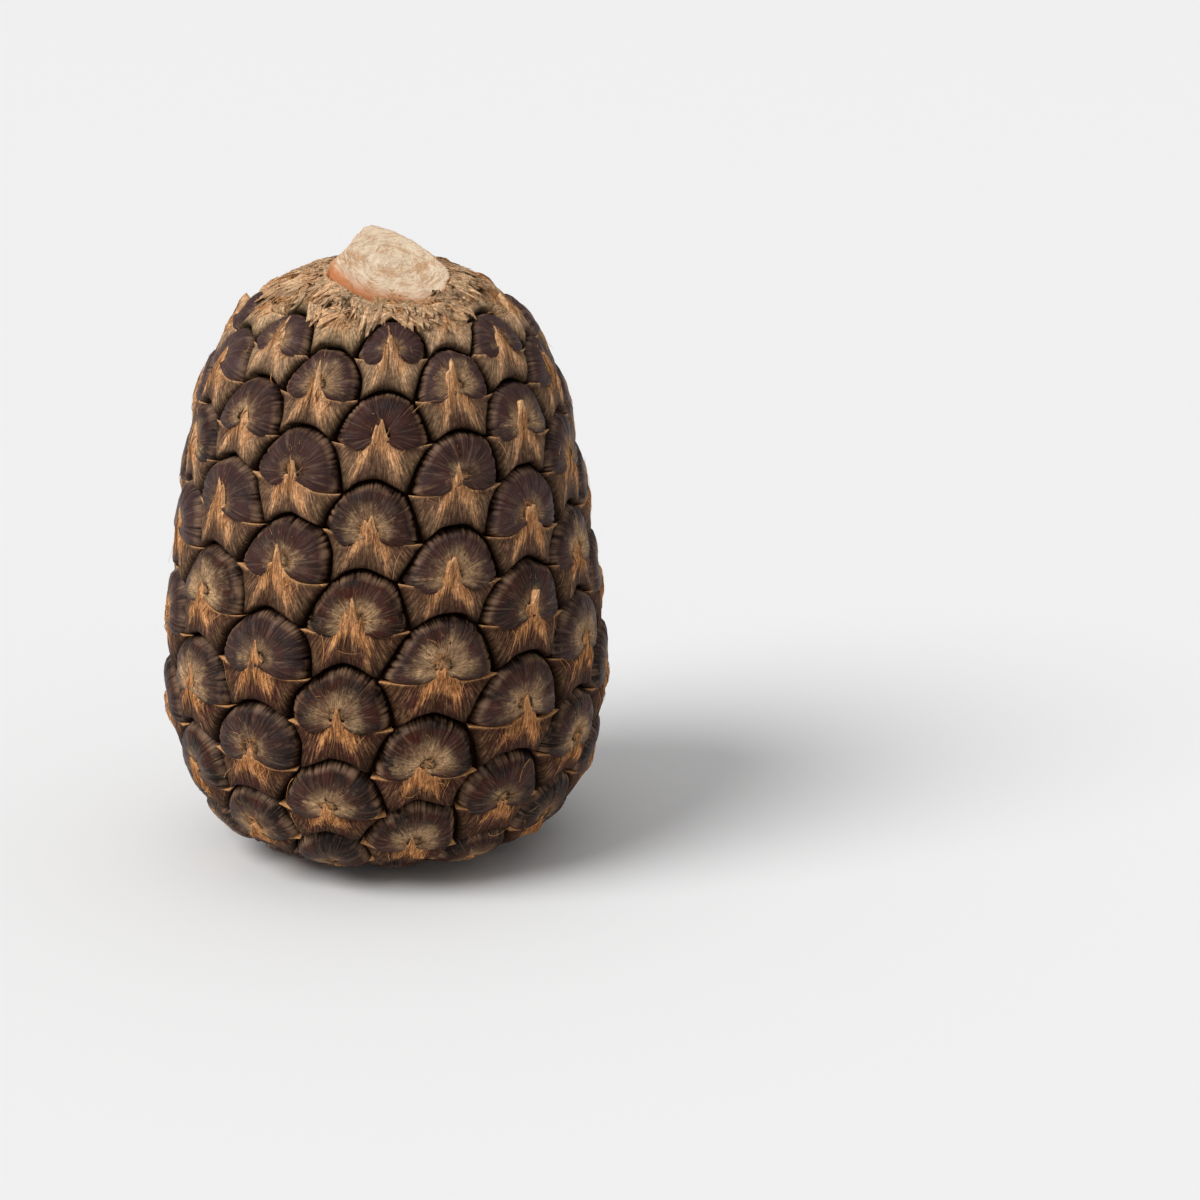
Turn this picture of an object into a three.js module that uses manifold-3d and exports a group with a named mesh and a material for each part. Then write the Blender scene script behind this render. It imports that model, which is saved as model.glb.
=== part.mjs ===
// A whole pineapple with its crown cut off, standing on the cut end of its stalk.
// Millimetres, +Z up. The origin is on the fruit's axis, where it meets the surface it stands on.
import * as THREE from "three";
import { mergeVertices } from "three/addons/utils/BufferGeometryUtils.js";
import Module from "manifold-3d";

const wasm = await Module();
wasm.setup();

// The fruit's outline over its eyes: radius and height, from the stalk up to the crown
const OUTLINE = [
  [0, 0],
  [9, 0],
  [18, 0.3],
  [27, 2.5],
  [45, 9],
  [54, 22],
  [58.5, 40],
  [58.8, 60],
  [56, 84],
  [52.2, 108],
  [47, 130],
  [38, 146],
  [26.5, 155.5],
  [16, 159.5],
  [0, 160.5],
];
const OUTLINE_STEPS = 1200;
const EYE_LEVEL = 80; // the height from which the rows are counted
const WIDEST_RADIUS = 59;
const EYE_PITCH = 25.3; // from eye to eye up the fruit, where it is widest

// The eyes lie on seven spirals that fall to the right and eight that fall to the left
const RIGHT_SPIRALS = 7;
const LEFT_SPIRALS = 8;
const COLUMNS = RIGHT_SPIRALS + LEFT_SPIRALS;
const COLUMN_TURN = -0.0699; // a column drifts this much round the fruit from eye to eye
const LEFT_STEP = (2 * Math.PI - RIGHT_SPIRALS * COLUMN_TURN) / COLUMNS;
const RIGHT_STEP = LEFT_STEP + COLUMN_TURN;
const FIRST_EYE = { turn: -0.0089, row: 0.829 };
const LOWEST_ROW = -4.4;
const HIGHEST_ROW = 4.2;
const EYE_WANDER = 1.1; // how far an eye or a corner strays from its place in the pattern

// One eye's edge, from its right horn round over its cap and back under its bract.
// Columns across and rows up, from the middle of the line between cap and bract.
// The corners that lie on a neighbour's edge are taken from that neighbour.
const CAP_EDGE = [
  { name: "shoulder", across: 0.58, up: 0.25 },
  { name: "rightCorner", across: 0.47, up: 0.5 },
  { name: "rightArch", across: 0.28, up: 0.62 },
  { name: "crest", across: 0.085, up: 0.66 },
  { name: "leftArch", across: -0.11, up: 0.62 },
  { name: "leftCorner", across: -0.3, up: 0.5 },
  { name: "flank", across: -0.49, up: 0.29 },
];

// The whole edge in order: whose point it is (steps right and left down the spirals), its name,
// and how far the skin stands out of the outline just inside it and half-way to the middle
const EDGE = [
  { right: 1, left: 0, name: "leftCorner", inside: -0.9, halfway: -0.9 },
  { right: 0, left: 0, name: "shoulder", inside: -1.5, halfway: 0.6 },
  { right: 0, left: 0, name: "rightCorner", inside: -2.0, halfway: 0.7 },
  { right: 0, left: 0, name: "rightArch", inside: -2.0, halfway: 0.6 },
  { right: 0, left: 0, name: "crest", inside: -1.9, halfway: 1.7 },
  { right: 0, left: 0, name: "leftArch", inside: -2.0, halfway: 0.6 },
  { right: 0, left: 0, name: "leftCorner", inside: -2.0, halfway: 0.7 },
  { right: 0, left: 0, name: "flank", inside: -1.5, halfway: 0.6 },
  { right: 0, left: 1, name: "rightCorner", inside: -0.9, halfway: -0.9 },
  { right: 0, left: 1, name: "shoulder", inside: -1.6, halfway: -0.4 },
  { right: 1, left: 1, name: "leftCorner", inside: -1.2, halfway: 0.6 },
  { right: 1, left: 1, name: "leftArch", inside: -0.7, halfway: -0.1 },
  { right: 1, left: 1, name: "crest", inside: -0.4, halfway: -0.3 },
  { right: 1, left: 1, name: "rightArch", inside: -0.7, halfway: -0.1 },
  { right: 1, left: 1, name: "rightCorner", inside: -1.2, halfway: 0.6 },
  { right: 1, left: 0, name: "flank", inside: -1.6, halfway: -0.4 },
];
const CREVICE = -4.4;
const INSIDE_EDGE = 0.88;
const HALFWAY = 0.5;
const MIDDLE_RISE = 0.9;
const TIP_SPOKE = 4;
const TIP_REACH = 0.62; // the bract's tip lies this far up over the cap
const FREE_TIP_RISE = 2.4; // how far the driest tips bend away from their caps

// The cut base of the crown: a sloping face that looks to the front and a little to the right.
// Its rim, across and up the slope from the face's middle, has one blunt corner at the top.
const CROWN_FACE = { x: 1.3, y: -11, z: 162.4, slope: 28, towards: 20 };
const CROWN_RIM = [
  [17.1, -4],
  [13.8, 4.7],
  [8, 12.6],
  [1.6, 16.6],
  [-2.4, 14],
  [-8, 7.4],
  [-13.5, 1.5],
  [-11.8, -8],
  [-7.2, -14],
  [3, -18],
  [10.7, -15.8],
  [15.8, -8.5],
];
const CROWN_RIM_STEPS = 48;
const CROWN_REACH = 15.5; // the rim's middling distance from the face's middle
const CROWN_ROOT_DEPTH = 13;
const CROWN_CLEARING = { radius: 20, depth: 1 };
const CROWN_SIDES = 40;

// The cut end of the stalk, level with the lowest eyes
const STALK = { radius: 10.5, waist: 9.6, depth: 4, sides: 28 };
const GAP = 0.3;

const COLOURS = {
  rind: 0x5b4436,
  crown: 0xe2c9a0,
  stalk: 0xb99468,
};

// A repeatable draw between -1 and 1 for one eye
function stray(eye, kind) {
  const wave = Math.sin(eye.right * 12.9898 + eye.left * 78.233 + kind * 37.719) * 43758.5453;
  return 2 * (wave - Math.floor(wave)) - 1;
}

// The outline measured in rows of eyes: rows are as far apart as the root of the radius
function measureOutline() {
  const curve = new THREE.SplineCurve(OUTLINE.map(([r, z]) => new THREE.Vector2(r, z)));
  const places = [];
  let row = 0;
  for (let n = 0; n <= OUTLINE_STEPS; n++) {
    const t = n / OUTLINE_STEPS;
    const at = curve.getPoint(t);
    const along = curve.getTangent(t);
    const shrink = Math.sqrt(Math.max(at.x / WIDEST_RADIUS, 0.05));
    const last = places[n - 1];
    if (last) {
      const step = Math.hypot(at.x - last.radius, at.y - last.height);
      row += (2 * step) / (EYE_PITCH * (shrink + last.shrink));
    }
    places.push({ row, radius: at.x, height: at.y, out: along.y, up: -along.x, shrink });
  }
  const level = places.reduce((a, b) =>
    Math.abs(b.height - EYE_LEVEL) < Math.abs(a.height - EYE_LEVEL) ? b : a,
  ).row;
  places.forEach((place) => (place.row -= level));
  return places;
}

const outline = measureOutline();

// The outline at one row: its radius and height, the way out of the skin, and the eyes' size
function outlineAt(row) {
  let low = 0;
  let high = outline.length - 1;
  while (high - low > 1) {
    const middle = (low + high) >> 1;
    if (outline[middle].row > row) high = middle;
    else low = middle;
  }
  const a = outline[low];
  const b = outline[high];
  const share = THREE.MathUtils.clamp((row - a.row) / (b.row - a.row), 0, 1);
  const between = (key) => a[key] + share * (b[key] - a[key]);
  return {
    radius: between("radius"),
    height: between("height"),
    out: between("out"),
    up: between("up"),
    shrink: between("shrink"),
  };
}

// A point of the skin, raised above the outline; nothing reaches below the surface it stands on
function skinPoint({ turn, row }, rise) {
  const place = outlineAt(row);
  const radius = place.radius + rise * place.shrink * place.out;
  const height = place.height + rise * place.shrink * place.up;
  return new THREE.Vector3(radius * Math.sin(turn), -radius * Math.cos(turn), Math.max(height, 0));
}

// Going once round the fruit comes back to the same eye: seven steps right and eight back
function sameEye(right, left) {
  const rounds = Math.floor(left / LEFT_SPIRALS);
  return { right: right + rounds * RIGHT_SPIRALS, left: left - rounds * LEFT_SPIRALS };
}

// Where an eye's middle lies: its angle round the fruit and its row
function eyeMiddle(right, left) {
  const eye = sameEye(right, left);
  const across = (EYE_WANDER / EYE_PITCH) * stray(eye, 1);
  const up = (EYE_WANDER / EYE_PITCH) * stray(eye, 2);
  return {
    turn: FIRST_EYE.turn + right * RIGHT_STEP - left * LEFT_STEP + (across * 2 * Math.PI) / COLUMNS,
    row: FIRST_EYE.row - (right * LEFT_SPIRALS + left * RIGHT_SPIRALS) / COLUMNS + up,
  };
}

// Where one named point of an eye's cap edge lies
function capEdgePoint(right, left, index) {
  const middle = eyeMiddle(right, left);
  const eye = sameEye(right, left);
  const wander = EYE_WANDER / EYE_PITCH / 2;
  const across = CAP_EDGE[index].across + wander * stray(eye, 10 + index);
  const up = CAP_EDGE[index].up + wander * stray(eye, 20 + index);
  return { turn: middle.turn + (across * 2 * Math.PI) / COLUMNS, row: middle.row + up };
}

// All eyes between the stalk and the crown, each once
function listEyes() {
  const eyes = [];
  for (let left = 0; left < LEFT_SPIRALS; left++)
    for (let right = -2 * COLUMNS; right <= 2 * COLUMNS; right++) {
      const row = FIRST_EYE.row - (right * LEFT_SPIRALS + left * RIGHT_SPIRALS) / COLUMNS;
      if (row > LOWEST_ROW && row < HIGHEST_ROW) eyes.push({ right, left });
    }
  return eyes;
}

// The rind: every eye is a fan of sixteen spokes, and eyes share the points of their edges
function buildRind() {
  const vertices = [];
  const triangles = [];
  const shared = new Map();
  const add = (place, rise) => vertices.push(skinPoint(place, rise)) - 1;

  const edgeVertex = (right, left, index) => {
    const eye = sameEye(right, left);
    const key = `${eye.right},${eye.left},${index}`;
    if (!shared.has(key)) shared.set(key, add(capEdgePoint(eye.right, eye.left, index), CREVICE));
    return shared.get(key);
  };

  for (const eye of listEyes()) {
    const middle = eyeMiddle(eye.right, eye.left);
    const free = FREE_TIP_RISE * Math.pow(Math.max(stray(eye, 3), 0), 3);
    const rims = EDGE.map((edge, spoke) => {
      const index = CAP_EDGE.findIndex((point) => point.name === edge.name);
      const right = eye.right + edge.right;
      const left = eye.left + edge.left;
      const place = capEdgePoint(right, left, index);
      const isTip = spoke === TIP_SPOKE;
      const towards = (share) => ({
        turn: THREE.MathUtils.lerp(middle.turn, place.turn, share),
        row: THREE.MathUtils.lerp(middle.row, place.row, share),
      });
      return {
        crevice: edgeVertex(right, left, index),
        inside: add(towards(INSIDE_EDGE), edge.inside),
        halfway: add(towards(isTip ? TIP_REACH : HALFWAY), edge.halfway + (isTip ? free : 0)),
      };
    });
    const centre = add(middle, MIDDLE_RISE);
    rims.forEach((rim, spoke) => {
      const next = rims[(spoke + 1) % rims.length];
      triangles.push([rim.inside, rim.crevice, next.crevice], [rim.inside, next.crevice, next.inside]);
      triangles.push([rim.halfway, rim.inside, next.inside], [rim.halfway, next.inside, next.halfway]);
      triangles.push([centre, rim.halfway, next.halfway]);
    });
  }
  return { vertices, triangles };
}

// The open edges of a surface, each joined to the next, as loops of vertices
function openLoops(triangles) {
  const edges = new Set(triangles.flatMap(([a, b, c]) => [`${a},${b}`, `${b},${c}`, `${c},${a}`]));
  const next = new Map();
  for (const edge of edges) {
    const [from, to] = edge.split(",").map(Number);
    if (!edges.has(`${to},${from}`)) next.set(from, to);
  }
  const loops = [];
  while (next.size) {
    const loop = [];
    let at = next.keys().next().value;
    while (next.has(at)) {
      loop.push(at);
      const to = next.get(at);
      next.delete(at);
      at = to;
    }
    loops.push(loop);
  }
  return loops;
}

// Close the two open ends of the rind with fans to the axis
function closeEnds({ vertices, triangles }) {
  const halfHeight = OUTLINE[OUTLINE.length - 1][1] / 2;
  for (const loop of openLoops(triangles)) {
    const isTop = vertices[loop[0]].z > halfHeight;
    const height = isTop ? OUTLINE[OUTLINE.length - 1][1] : 0;
    const pole = vertices.push(new THREE.Vector3(0, 0, height)) - 1;
    loop.forEach((vertex, n) => triangles.push([pole, loop[(n + 1) % loop.length], vertex]));
  }
}

function geometryOf(vertices, triangles) {
  const geometry = new THREE.BufferGeometry().setFromPoints(vertices);
  geometry.setIndex(triangles.flat());
  return geometry;
}

// A closed mesh as a solid that can be cut
function solidOf(geometry) {
  const bare = geometry.clone();
  bare.deleteAttribute("normal");
  bare.deleteAttribute("uv");
  const merged = mergeVertices(bare, 1e-4);
  return new wasm.Manifold(
    new wasm.Mesh({
      numProp: 3,
      vertProperties: new Float32Array(merged.attributes.position.array),
      triVerts: new Uint32Array(merged.index.array),
    }),
  );
}

function geometryOfSolid(solid) {
  const mesh = solid.getMesh();
  const geometry = new THREE.BufferGeometry();
  geometry.setAttribute("position", new THREE.BufferAttribute(mesh.vertProperties, 3));
  geometry.setIndex(new THREE.BufferAttribute(mesh.triVerts, 1));
  geometry.computeVertexNormals();
  return geometry;
}

// A turned solid, its profile given as radius and height pairs that start and end on the axis
function turned(profile, sides) {
  return new THREE.LatheGeometry(profile.map(([r, z]) => new THREE.Vector2(r, z)), sides).rotateX(
    Math.PI / 2,
  );
}

// Puts a solid that stands on the origin onto the sloping face of the crown
function onCrownFace(geometry) {
  const slope = THREE.MathUtils.degToRad(CROWN_FACE.slope);
  const towards = THREE.MathUtils.degToRad(CROWN_FACE.towards);
  return geometry
    .rotateX(slope)
    .rotateZ(towards)
    .translate(CROWN_FACE.x, CROWN_FACE.y, CROWN_FACE.z);
}

// The crown's base reaches from its cut face down into the fruit.
// Its bed in the fruit is the same form, a gap wider and open at the top.
function crownBase(gap) {
  const corners = CROWN_RIM.map(([x, y]) => new THREE.Vector3(x, y, 0));
  const curve = new THREE.CatmullRomCurve3(corners, true, "catmullrom");
  const rim = curve.getPoints(CROWN_RIM_STEPS).slice(0, -1);
  const grow = 1 + gap / CROWN_REACH;
  const shape = new THREE.Shape(rim.map(({ x, y }) => new THREE.Vector2(x * grow, y * grow)));
  const depth = CROWN_ROOT_DEPTH + gap;
  const open = gap > 0 ? CROWN_REACH : 0;
  const geometry = new THREE.ExtrudeGeometry(shape, { depth: depth + open, bevelEnabled: false });
  return onCrownFace(geometry.translate(0, 0, -depth));
}

// What the crown's cut takes off the fruit's shoulder all round the crown's base
function crownClearing() {
  const { radius, depth } = CROWN_CLEARING;
  const profile = [[0, -depth], [radius - 4, -depth], [radius, 0], [radius + 8, radius], [0, radius]];
  return onCrownFace(turned(profile, CROWN_SIDES));
}

// The stalk is cut level with the lowest eyes and narrows a little inside the fruit.
// Its bed is the same form, a gap wider and open at the bottom.
function stalkEnd(gap) {
  const { radius, waist, depth, sides } = STALK;
  const profile = [[0, -gap], [radius + gap, -gap], [waist + gap, depth + gap], [0, depth + gap]];
  return turned(profile, sides);
}

function buildFruit() {
  const rind = buildRind();
  closeEnds(rind);
  const whole = solidOf(geometryOf(rind.vertices, rind.triangles));
  const cuts = [crownClearing(), crownBase(GAP), stalkEnd(GAP)];
  return geometryOfSolid(cuts.reduce((solid, cut) => solid.subtract(solidOf(cut)), whole));
}

function addPiece(group, name, geometry, colour) {
  const material = new THREE.MeshStandardMaterial({ color: colour, roughness: 0.75, metalness: 0 });
  const mesh = new THREE.Mesh(geometry, material);
  mesh.name = name;
  group.add(mesh);
}

const pineapple = new THREE.Group();
addPiece(pineapple, "fruit", buildFruit(), COLOURS.rind);
addPiece(pineapple, "crown_base", crownBase(0), COLOURS.crown);
addPiece(pineapple, "stalk_end", stalkEnd(0), COLOURS.stalk);

export default pineapple;
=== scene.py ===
# A whole pineapple with its crown cut off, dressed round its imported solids: dark ribbed caps, straw
# bracts with dry tips, crevices, the pale cut foot of the crown and the cut end of the stalk.
import math

import bmesh
import bpy
import numpy as np
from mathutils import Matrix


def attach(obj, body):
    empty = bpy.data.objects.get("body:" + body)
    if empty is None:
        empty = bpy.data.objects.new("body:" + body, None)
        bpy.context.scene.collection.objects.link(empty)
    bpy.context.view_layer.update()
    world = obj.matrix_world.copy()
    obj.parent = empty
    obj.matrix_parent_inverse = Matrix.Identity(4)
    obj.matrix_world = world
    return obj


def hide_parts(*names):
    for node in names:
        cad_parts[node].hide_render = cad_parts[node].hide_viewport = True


bl_info = {
    "name": "Pineapple",
    "version": (1, 0, 0),
    "blender": (4, 5, 0),
    "location": "View3D > Sidebar > Pineapple",
    "description": "Builds a whole pineapple without its crown, on a pale floor",
    "category": "Add Mesh",
}

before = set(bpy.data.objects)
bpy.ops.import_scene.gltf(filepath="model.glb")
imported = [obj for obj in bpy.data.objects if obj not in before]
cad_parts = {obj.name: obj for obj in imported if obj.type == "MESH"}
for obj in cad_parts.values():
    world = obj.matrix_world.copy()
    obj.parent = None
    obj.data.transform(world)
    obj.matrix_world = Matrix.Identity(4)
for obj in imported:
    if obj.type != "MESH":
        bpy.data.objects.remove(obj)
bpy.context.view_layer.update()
MM = 0.001

# The fruit's outline over its eyes, radius and height in millimetres, from the stalk to the crown
OUTLINE = (
    (0, 0),
    (9, 0),
    (18, 0.3),
    (27, 2.5),
    (45, 9),
    (54, 22),
    (58.5, 40),
    (58.8, 60),
    (56, 84),
    (52.2, 108),
    (47, 130),
    (38, 146),
    (26.5, 155.5),
    (16, 159.5),
    (0, 160.5),
)
OUTLINE_STEPS = 1201
EYE_LEVEL = 80  # the height of row 0
WIDEST_RADIUS = 59
EYE_PITCH = 25.3  # the length of one row along the outline, at the widest radius
SOLE = 1.4  # skin that would pass below this height is flattened towards the floor

# The spirals of eyes: seven fall to the right and eight to the left
RIGHT_SPIRALS = 7
LEFT_SPIRALS = 8
COLUMNS = RIGHT_SPIRALS + LEFT_SPIRALS
COLUMN = 2 * math.pi / COLUMNS
COLUMN_TURN = -0.0699
LEFT_STEP = (2 * math.pi - RIGHT_SPIRALS * COLUMN_TURN) / COLUMNS
RIGHT_STEP = LEFT_STEP + COLUMN_TURN
FIRST_TURN = -0.0089
FIRST_ROW = 0.829
LOWEST_ROW = -4.4
MIDDLE_ROW = 0
HIGHEST_ROW = 4.2
RIND_ROWS = 0.7  # the rind goes on this many rows past the last eyes, under the stalk and the crown
# The rows over which a change comes in: caps covered and bracts bleached by the crown's remains, tips
# kept short there, and rind dry at the top and, counted down, at the foot
COVERED_ROWS = (3.05, 3.4)
BLEACHED_ROWS = (2.4, 3.6)
SHORT_TIP_ROWS = (2.9, 3.5)
DRY_TOP_ROWS = (3.5, 4.1)
DRY_FOOT_ROWS = (4.3, 4.7)
# How far apart the patterns of single caps, bracts and scraps may start
CAP_SHIFT = 40
BRACT_SHIFT = 70
SCRAP_SHIFT = 90

# An eye's own edge points, in columns across and rows up from the middle of its horn line
CAP_EDGE = (
    (0.58, 0.25),
    (0.47, 0.5),
    (0.28, 0.62),
    (0.085, 0.66),
    (-0.11, 0.62),
    (-0.3, 0.5),
    (-0.49, 0.29),
)
SHOULDER, RIGHT_CORNER, RIGHT_ARCH, CREST, LEFT_ARCH, LEFT_CORNER, FLANK = range(7)
# The whole edge in order: steps right and left to the eye that owns the point, and the point
EDGE = (
    (1, 0, LEFT_CORNER),
    (0, 0, SHOULDER),
    (0, 0, RIGHT_CORNER),
    (0, 0, RIGHT_ARCH),
    (0, 0, CREST),
    (0, 0, LEFT_ARCH),
    (0, 0, LEFT_CORNER),
    (0, 0, FLANK),
    (0, 1, RIGHT_CORNER),
    (0, 1, SHOULDER),
    (1, 1, LEFT_CORNER),
    (1, 1, LEFT_ARCH),
    (1, 1, CREST),
    (1, 1, RIGHT_ARCH),
    (1, 1, RIGHT_CORNER),
    (1, 0, FLANK),
)
RIGHT_HORN, LEFT_HORN, LEFT_SIDE, LEFT_FOOT, RIGHT_FOOT, RIGHT_SIDE = 0, 8, 9, 10, 14, 15
BURIED = -3.4  # how deep the hidden middle of a cap or bract lies, in millimetres
# The rind's rings by their share of the way out to the eye's edge, and how deep its middle lies
RIND_RINGS = np.array((1, 0.94, 0.85, 0.7, 0.4))
RIND_MIDDLE = 1.7
MERGED = 0.002  # points of the rind nearer than this, in millimetres, are one

# The crown's cut face: its middle in millimetres, its slope, the way it looks, and its rim on the face
CROWN_CENTRE = np.array((1.3, -11.0, 162.4))
CROWN_SLOPE = math.radians(28)
CROWN_TOWARDS = math.radians(20)
CROWN_RIM = np.array(
    (
        (17.1, -4),
        (13.8, 4.7),
        (8, 12.6),
        (1.6, 16.6),
        (-2.4, 14),
        (-8, 7.4),
        (-13.5, 1.5),
        (-11.8, -8),
        (-7.2, -14),
        (3, -18),
        (10.7, -15.8),
        (15.8, -8.5),
    )
)
RIM_STEPS = 240  # places on the rim by which its reach is looked up
# Skin near the crown is pressed down to a ceiling: it lies at CLEARING_DEPTH under the cut face, rises
# gently from CLEARING_INNER on and steeply from CLEARING_OUTER on. Higher skin stands over it by the
# lip at most
CLEARING_INNER = 16
CLEARING_OUTER = 20
CLEARING_DEPTH = 0.5
CLEARING_LIP = 1.2
SHOULDER_TRIES = 12

STALK_RADIUS = 10.5
STALK_DEPTH = 4


def linear(code):
    """An sRGB hex colour as linear red, green and blue, and full alpha."""
    parts = [int(code[n : n + 2], 16) / 255 for n in (1, 3, 5)]
    return (*((c / 12.92 if c <= 0.04045 else ((c + 0.055) / 1.055) ** 2.4) for c in parts), 1.0)


def smooth(low, high, value):
    """Rises smoothly from 0 at low to 1 at high."""
    share = np.clip((value - low) / (high - low), 0, 1)
    return share * share * (3 - 2 * share)


def catmull(points, t, closed=False):
    """Catmull-Rom curve through points (last axis but one), at parameter t counted in points."""
    count = points.shape[-2]
    t = np.asarray(t, dtype=float)
    first = np.floor(t).astype(int) if closed else np.minimum(t.astype(int), count - 2)
    w = (t - first)[:, None]

    def at(step):
        index = (first + step) % count if closed else np.clip(first + step, 0, count - 1)
        return points[..., index, :]

    leave = (at(1) - at(-1)) / 2
    arrive = (at(2) - at(0)) / 2
    cubic = (2 * at(0) - 2 * at(1) + leave + arrive) * w**3
    square = (-3 * at(0) + 3 * at(1) - 2 * leave - arrive) * w**2
    return cubic + square + leave * w + at(0)


def measure_outline():
    """The outline's radius and height, the way out of it, the size of eyes there (the root of the
    radius over the widest radius) and the row of eyes, which is the length along it over their size."""
    curve = catmull(np.array(OUTLINE, dtype=float), np.linspace(0, len(OUTLINE) - 1, OUTLINE_STEPS))
    along = np.gradient(curve, axis=0)
    along /= np.linalg.norm(along, axis=1, keepdims=True)
    shrink = np.sqrt(np.maximum(curve[:, 0] / WIDEST_RADIUS, 0.05))
    step = np.linalg.norm(np.diff(curve, axis=0), axis=1)
    row = np.concatenate(([0], np.cumsum(2 * step / (EYE_PITCH * (shrink[1:] + shrink[:-1])))))
    row -= row[np.argmin(np.abs(curve[:, 1] - EYE_LEVEL))]
    return row, curve[:, 0], curve[:, 1], along[:, 1], -along[:, 0], shrink


OUTLINE_ROWS, *OUTLINE_VALUES = measure_outline()


def crown_axes():
    """The three directions of the crown's cut face as columns: across, up the slope, and out of it."""
    cs, sn = math.cos(CROWN_SLOPE), math.sin(CROWN_SLOPE)
    ct, st = math.cos(CROWN_TOWARDS), math.sin(CROWN_TOWARDS)
    return np.array(((ct, -st * cs, st * sn), (st, ct * cs, -ct * sn), (0, sn, cs)))


CROWN_AXES = crown_axes()


def crown_ceiling(x, y):
    """How high the skin may stand over the plane of the crown's cut: it is flat near the crown, rises by
    half the distance past its inner rim and steeply past its outer rim."""
    reach = np.hypot(x, y)
    ceiling = 0.5 * np.clip(reach - CLEARING_INNER, 0, CLEARING_OUTER - CLEARING_INNER) - CLEARING_DEPTH
    return ceiling + 3 * np.clip(reach - CLEARING_OUTER, 0, None)


def clear_crown(points):
    """Skin that stands above the cut round the crown is pressed down to just over its ceiling."""
    local = (points - CROWN_CENTRE) @ CROWN_AXES
    excess = np.clip(local[..., 2] - crown_ceiling(local[..., 0], local[..., 1]), 0, None)
    local[..., 2] += CLEARING_LIP * (1 - np.exp(-excess / 5)) - excess
    return local @ CROWN_AXES.T + CROWN_CENTRE


def skin(turn, row, rise):
    """Points on the fruit in millimetres: the outline at that row, raised along the way out of it by
    rise times the size of eyes there, and turned round the axis; low points flatten towards the floor."""
    radius, height, out, up, shrink = (np.interp(row, OUTLINE_ROWS, v) for v in OUTLINE_VALUES)
    radius = radius + rise * shrink * out
    height = height + rise * shrink * up
    height = np.where(height < SOLE, SOLE * np.exp(height / SOLE - 1), height)
    return clear_crown(np.stack((radius * np.sin(turn), -radius * np.cos(turn), height), axis=-1))


# Large uneven numbers that scatter the draws of neighbouring eyes
SCATTER = (12.9898, 78.233, 37.719, 43758.5453)
# The kinds of an eye's draws; those of edge points and of rib waves count on from the first
TURN_DRAW, ROW_DRAW, FREE_TIP, LIFT, TONE, PATTERN, TIP_LENGTH, TIP_LEAN, BRACT_WAVE = range(1, 10)
EDGE_ACROSS, COVER, TIP_WIDTH, GREEN, FORK, FELT, EDGE_UP, RIB_WAVE = 10, 12, 13, 14, 15, 16, 20, 30


def stray(right, left, kind):
    """A repeatable draw between -1 and 1 for an eye, the same again one round further: the fraction of
    a large multiple of a sine."""
    rounds = np.floor_divide(left, LEFT_SPIRALS)
    right = right + rounds * RIGHT_SPIRALS
    left = left - rounds * LEFT_SPIRALS
    wave = np.sin(right * SCATTER[0] + left * SCATTER[1] + kind * SCATTER[2]) * SCATTER[3]
    return 2 * (wave - np.floor(wave)) - 1


def eye_middle(right, left, wander):
    """An eye's angle round the fruit and its row, from its steps down both spirals."""
    turn = FIRST_TURN + right * RIGHT_STEP - left * LEFT_STEP
    turn = turn + wander * stray(right, left, TURN_DRAW) * COLUMN
    row = FIRST_ROW - (right * LEFT_SPIRALS + left * RIGHT_SPIRALS) / COLUMNS
    return turn, row + wander * stray(right, left, ROW_DRAW)


class Eyes:
    """All eyes between two rows: their spiral steps, middles and edge points as whole arrays."""

    def __init__(self, lowest, highest, sizes):
        wander = sizes.wander / MM / EYE_PITCH
        left, right = np.mgrid[0:LEFT_SPIRALS, -2 * COLUMNS : 2 * COLUMNS + 1]
        row = FIRST_ROW - (right * LEFT_SPIRALS + left * RIGHT_SPIRALS) / COLUMNS
        inside = (row > lowest) & (row < highest)
        self.right = right[inside]
        self.left = left[inside]
        self.turn, self.row = eye_middle(self.right, self.left, wander)
        self.edge = np.stack([self.edge_point(*point, wander) for point in EDGE], axis=1)

    def edge_point(self, right, left, point, wander):
        """One edge point, across and up from the eye's middle, in columns and rows."""
        owner = (self.right + right, self.left + left)
        turn, row = eye_middle(*owner, wander)
        across = CAP_EDGE[point][0] + wander / 2 * stray(*owner, EDGE_ACROSS + point)
        up = CAP_EDGE[point][1] + wander / 2 * stray(*owner, EDGE_UP + point)
        return np.stack(((turn - self.turn) / COLUMN + across, row - self.row + up), axis=-1)

    def draw(self, kind):
        """A repeatable draw between -1 and 1 for each eye."""
        return stray(self.right, self.left, kind)

    def points(self, local, rise):
        """Skin points for places given across and up from each eye's middle."""
        shape = (-1,) + (1,) * (local.ndim - 2)
        turn = self.turn.reshape(shape) + local[..., 0] * COLUMN
        return skin(turn, self.row.reshape(shape) + local[..., 1], rise)


def grid_quads(rows, columns, closed):
    """Quads of one grid of vertices, joined round in its columns if it is closed."""
    across = np.arange(columns if closed else columns - 1)
    row = np.arange(rows - 1)[:, None]
    a = row * columns + across
    b = row * columns + (across + 1) % columns
    return np.stack((a, b, b + columns, a + columns), axis=-1).reshape(-1, 4)


def fan_triangles(loop, hub):
    """Triangles from a closed loop of vertices to one hub."""
    return np.stack((loop, np.full(len(loop), hub), np.roll(loop, -1)), axis=-1)


def end_fans(spokes, size):
    """Fans over the first and the last ring of a block of vertices that ends with their two hubs."""
    first = fan_triangles(np.arange(spokes), size - 2)
    last = fan_triangles(np.arange(size - 2 - spokes, size - 2), size - 1)
    return np.concatenate((first[:, ::-1], last))


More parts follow.
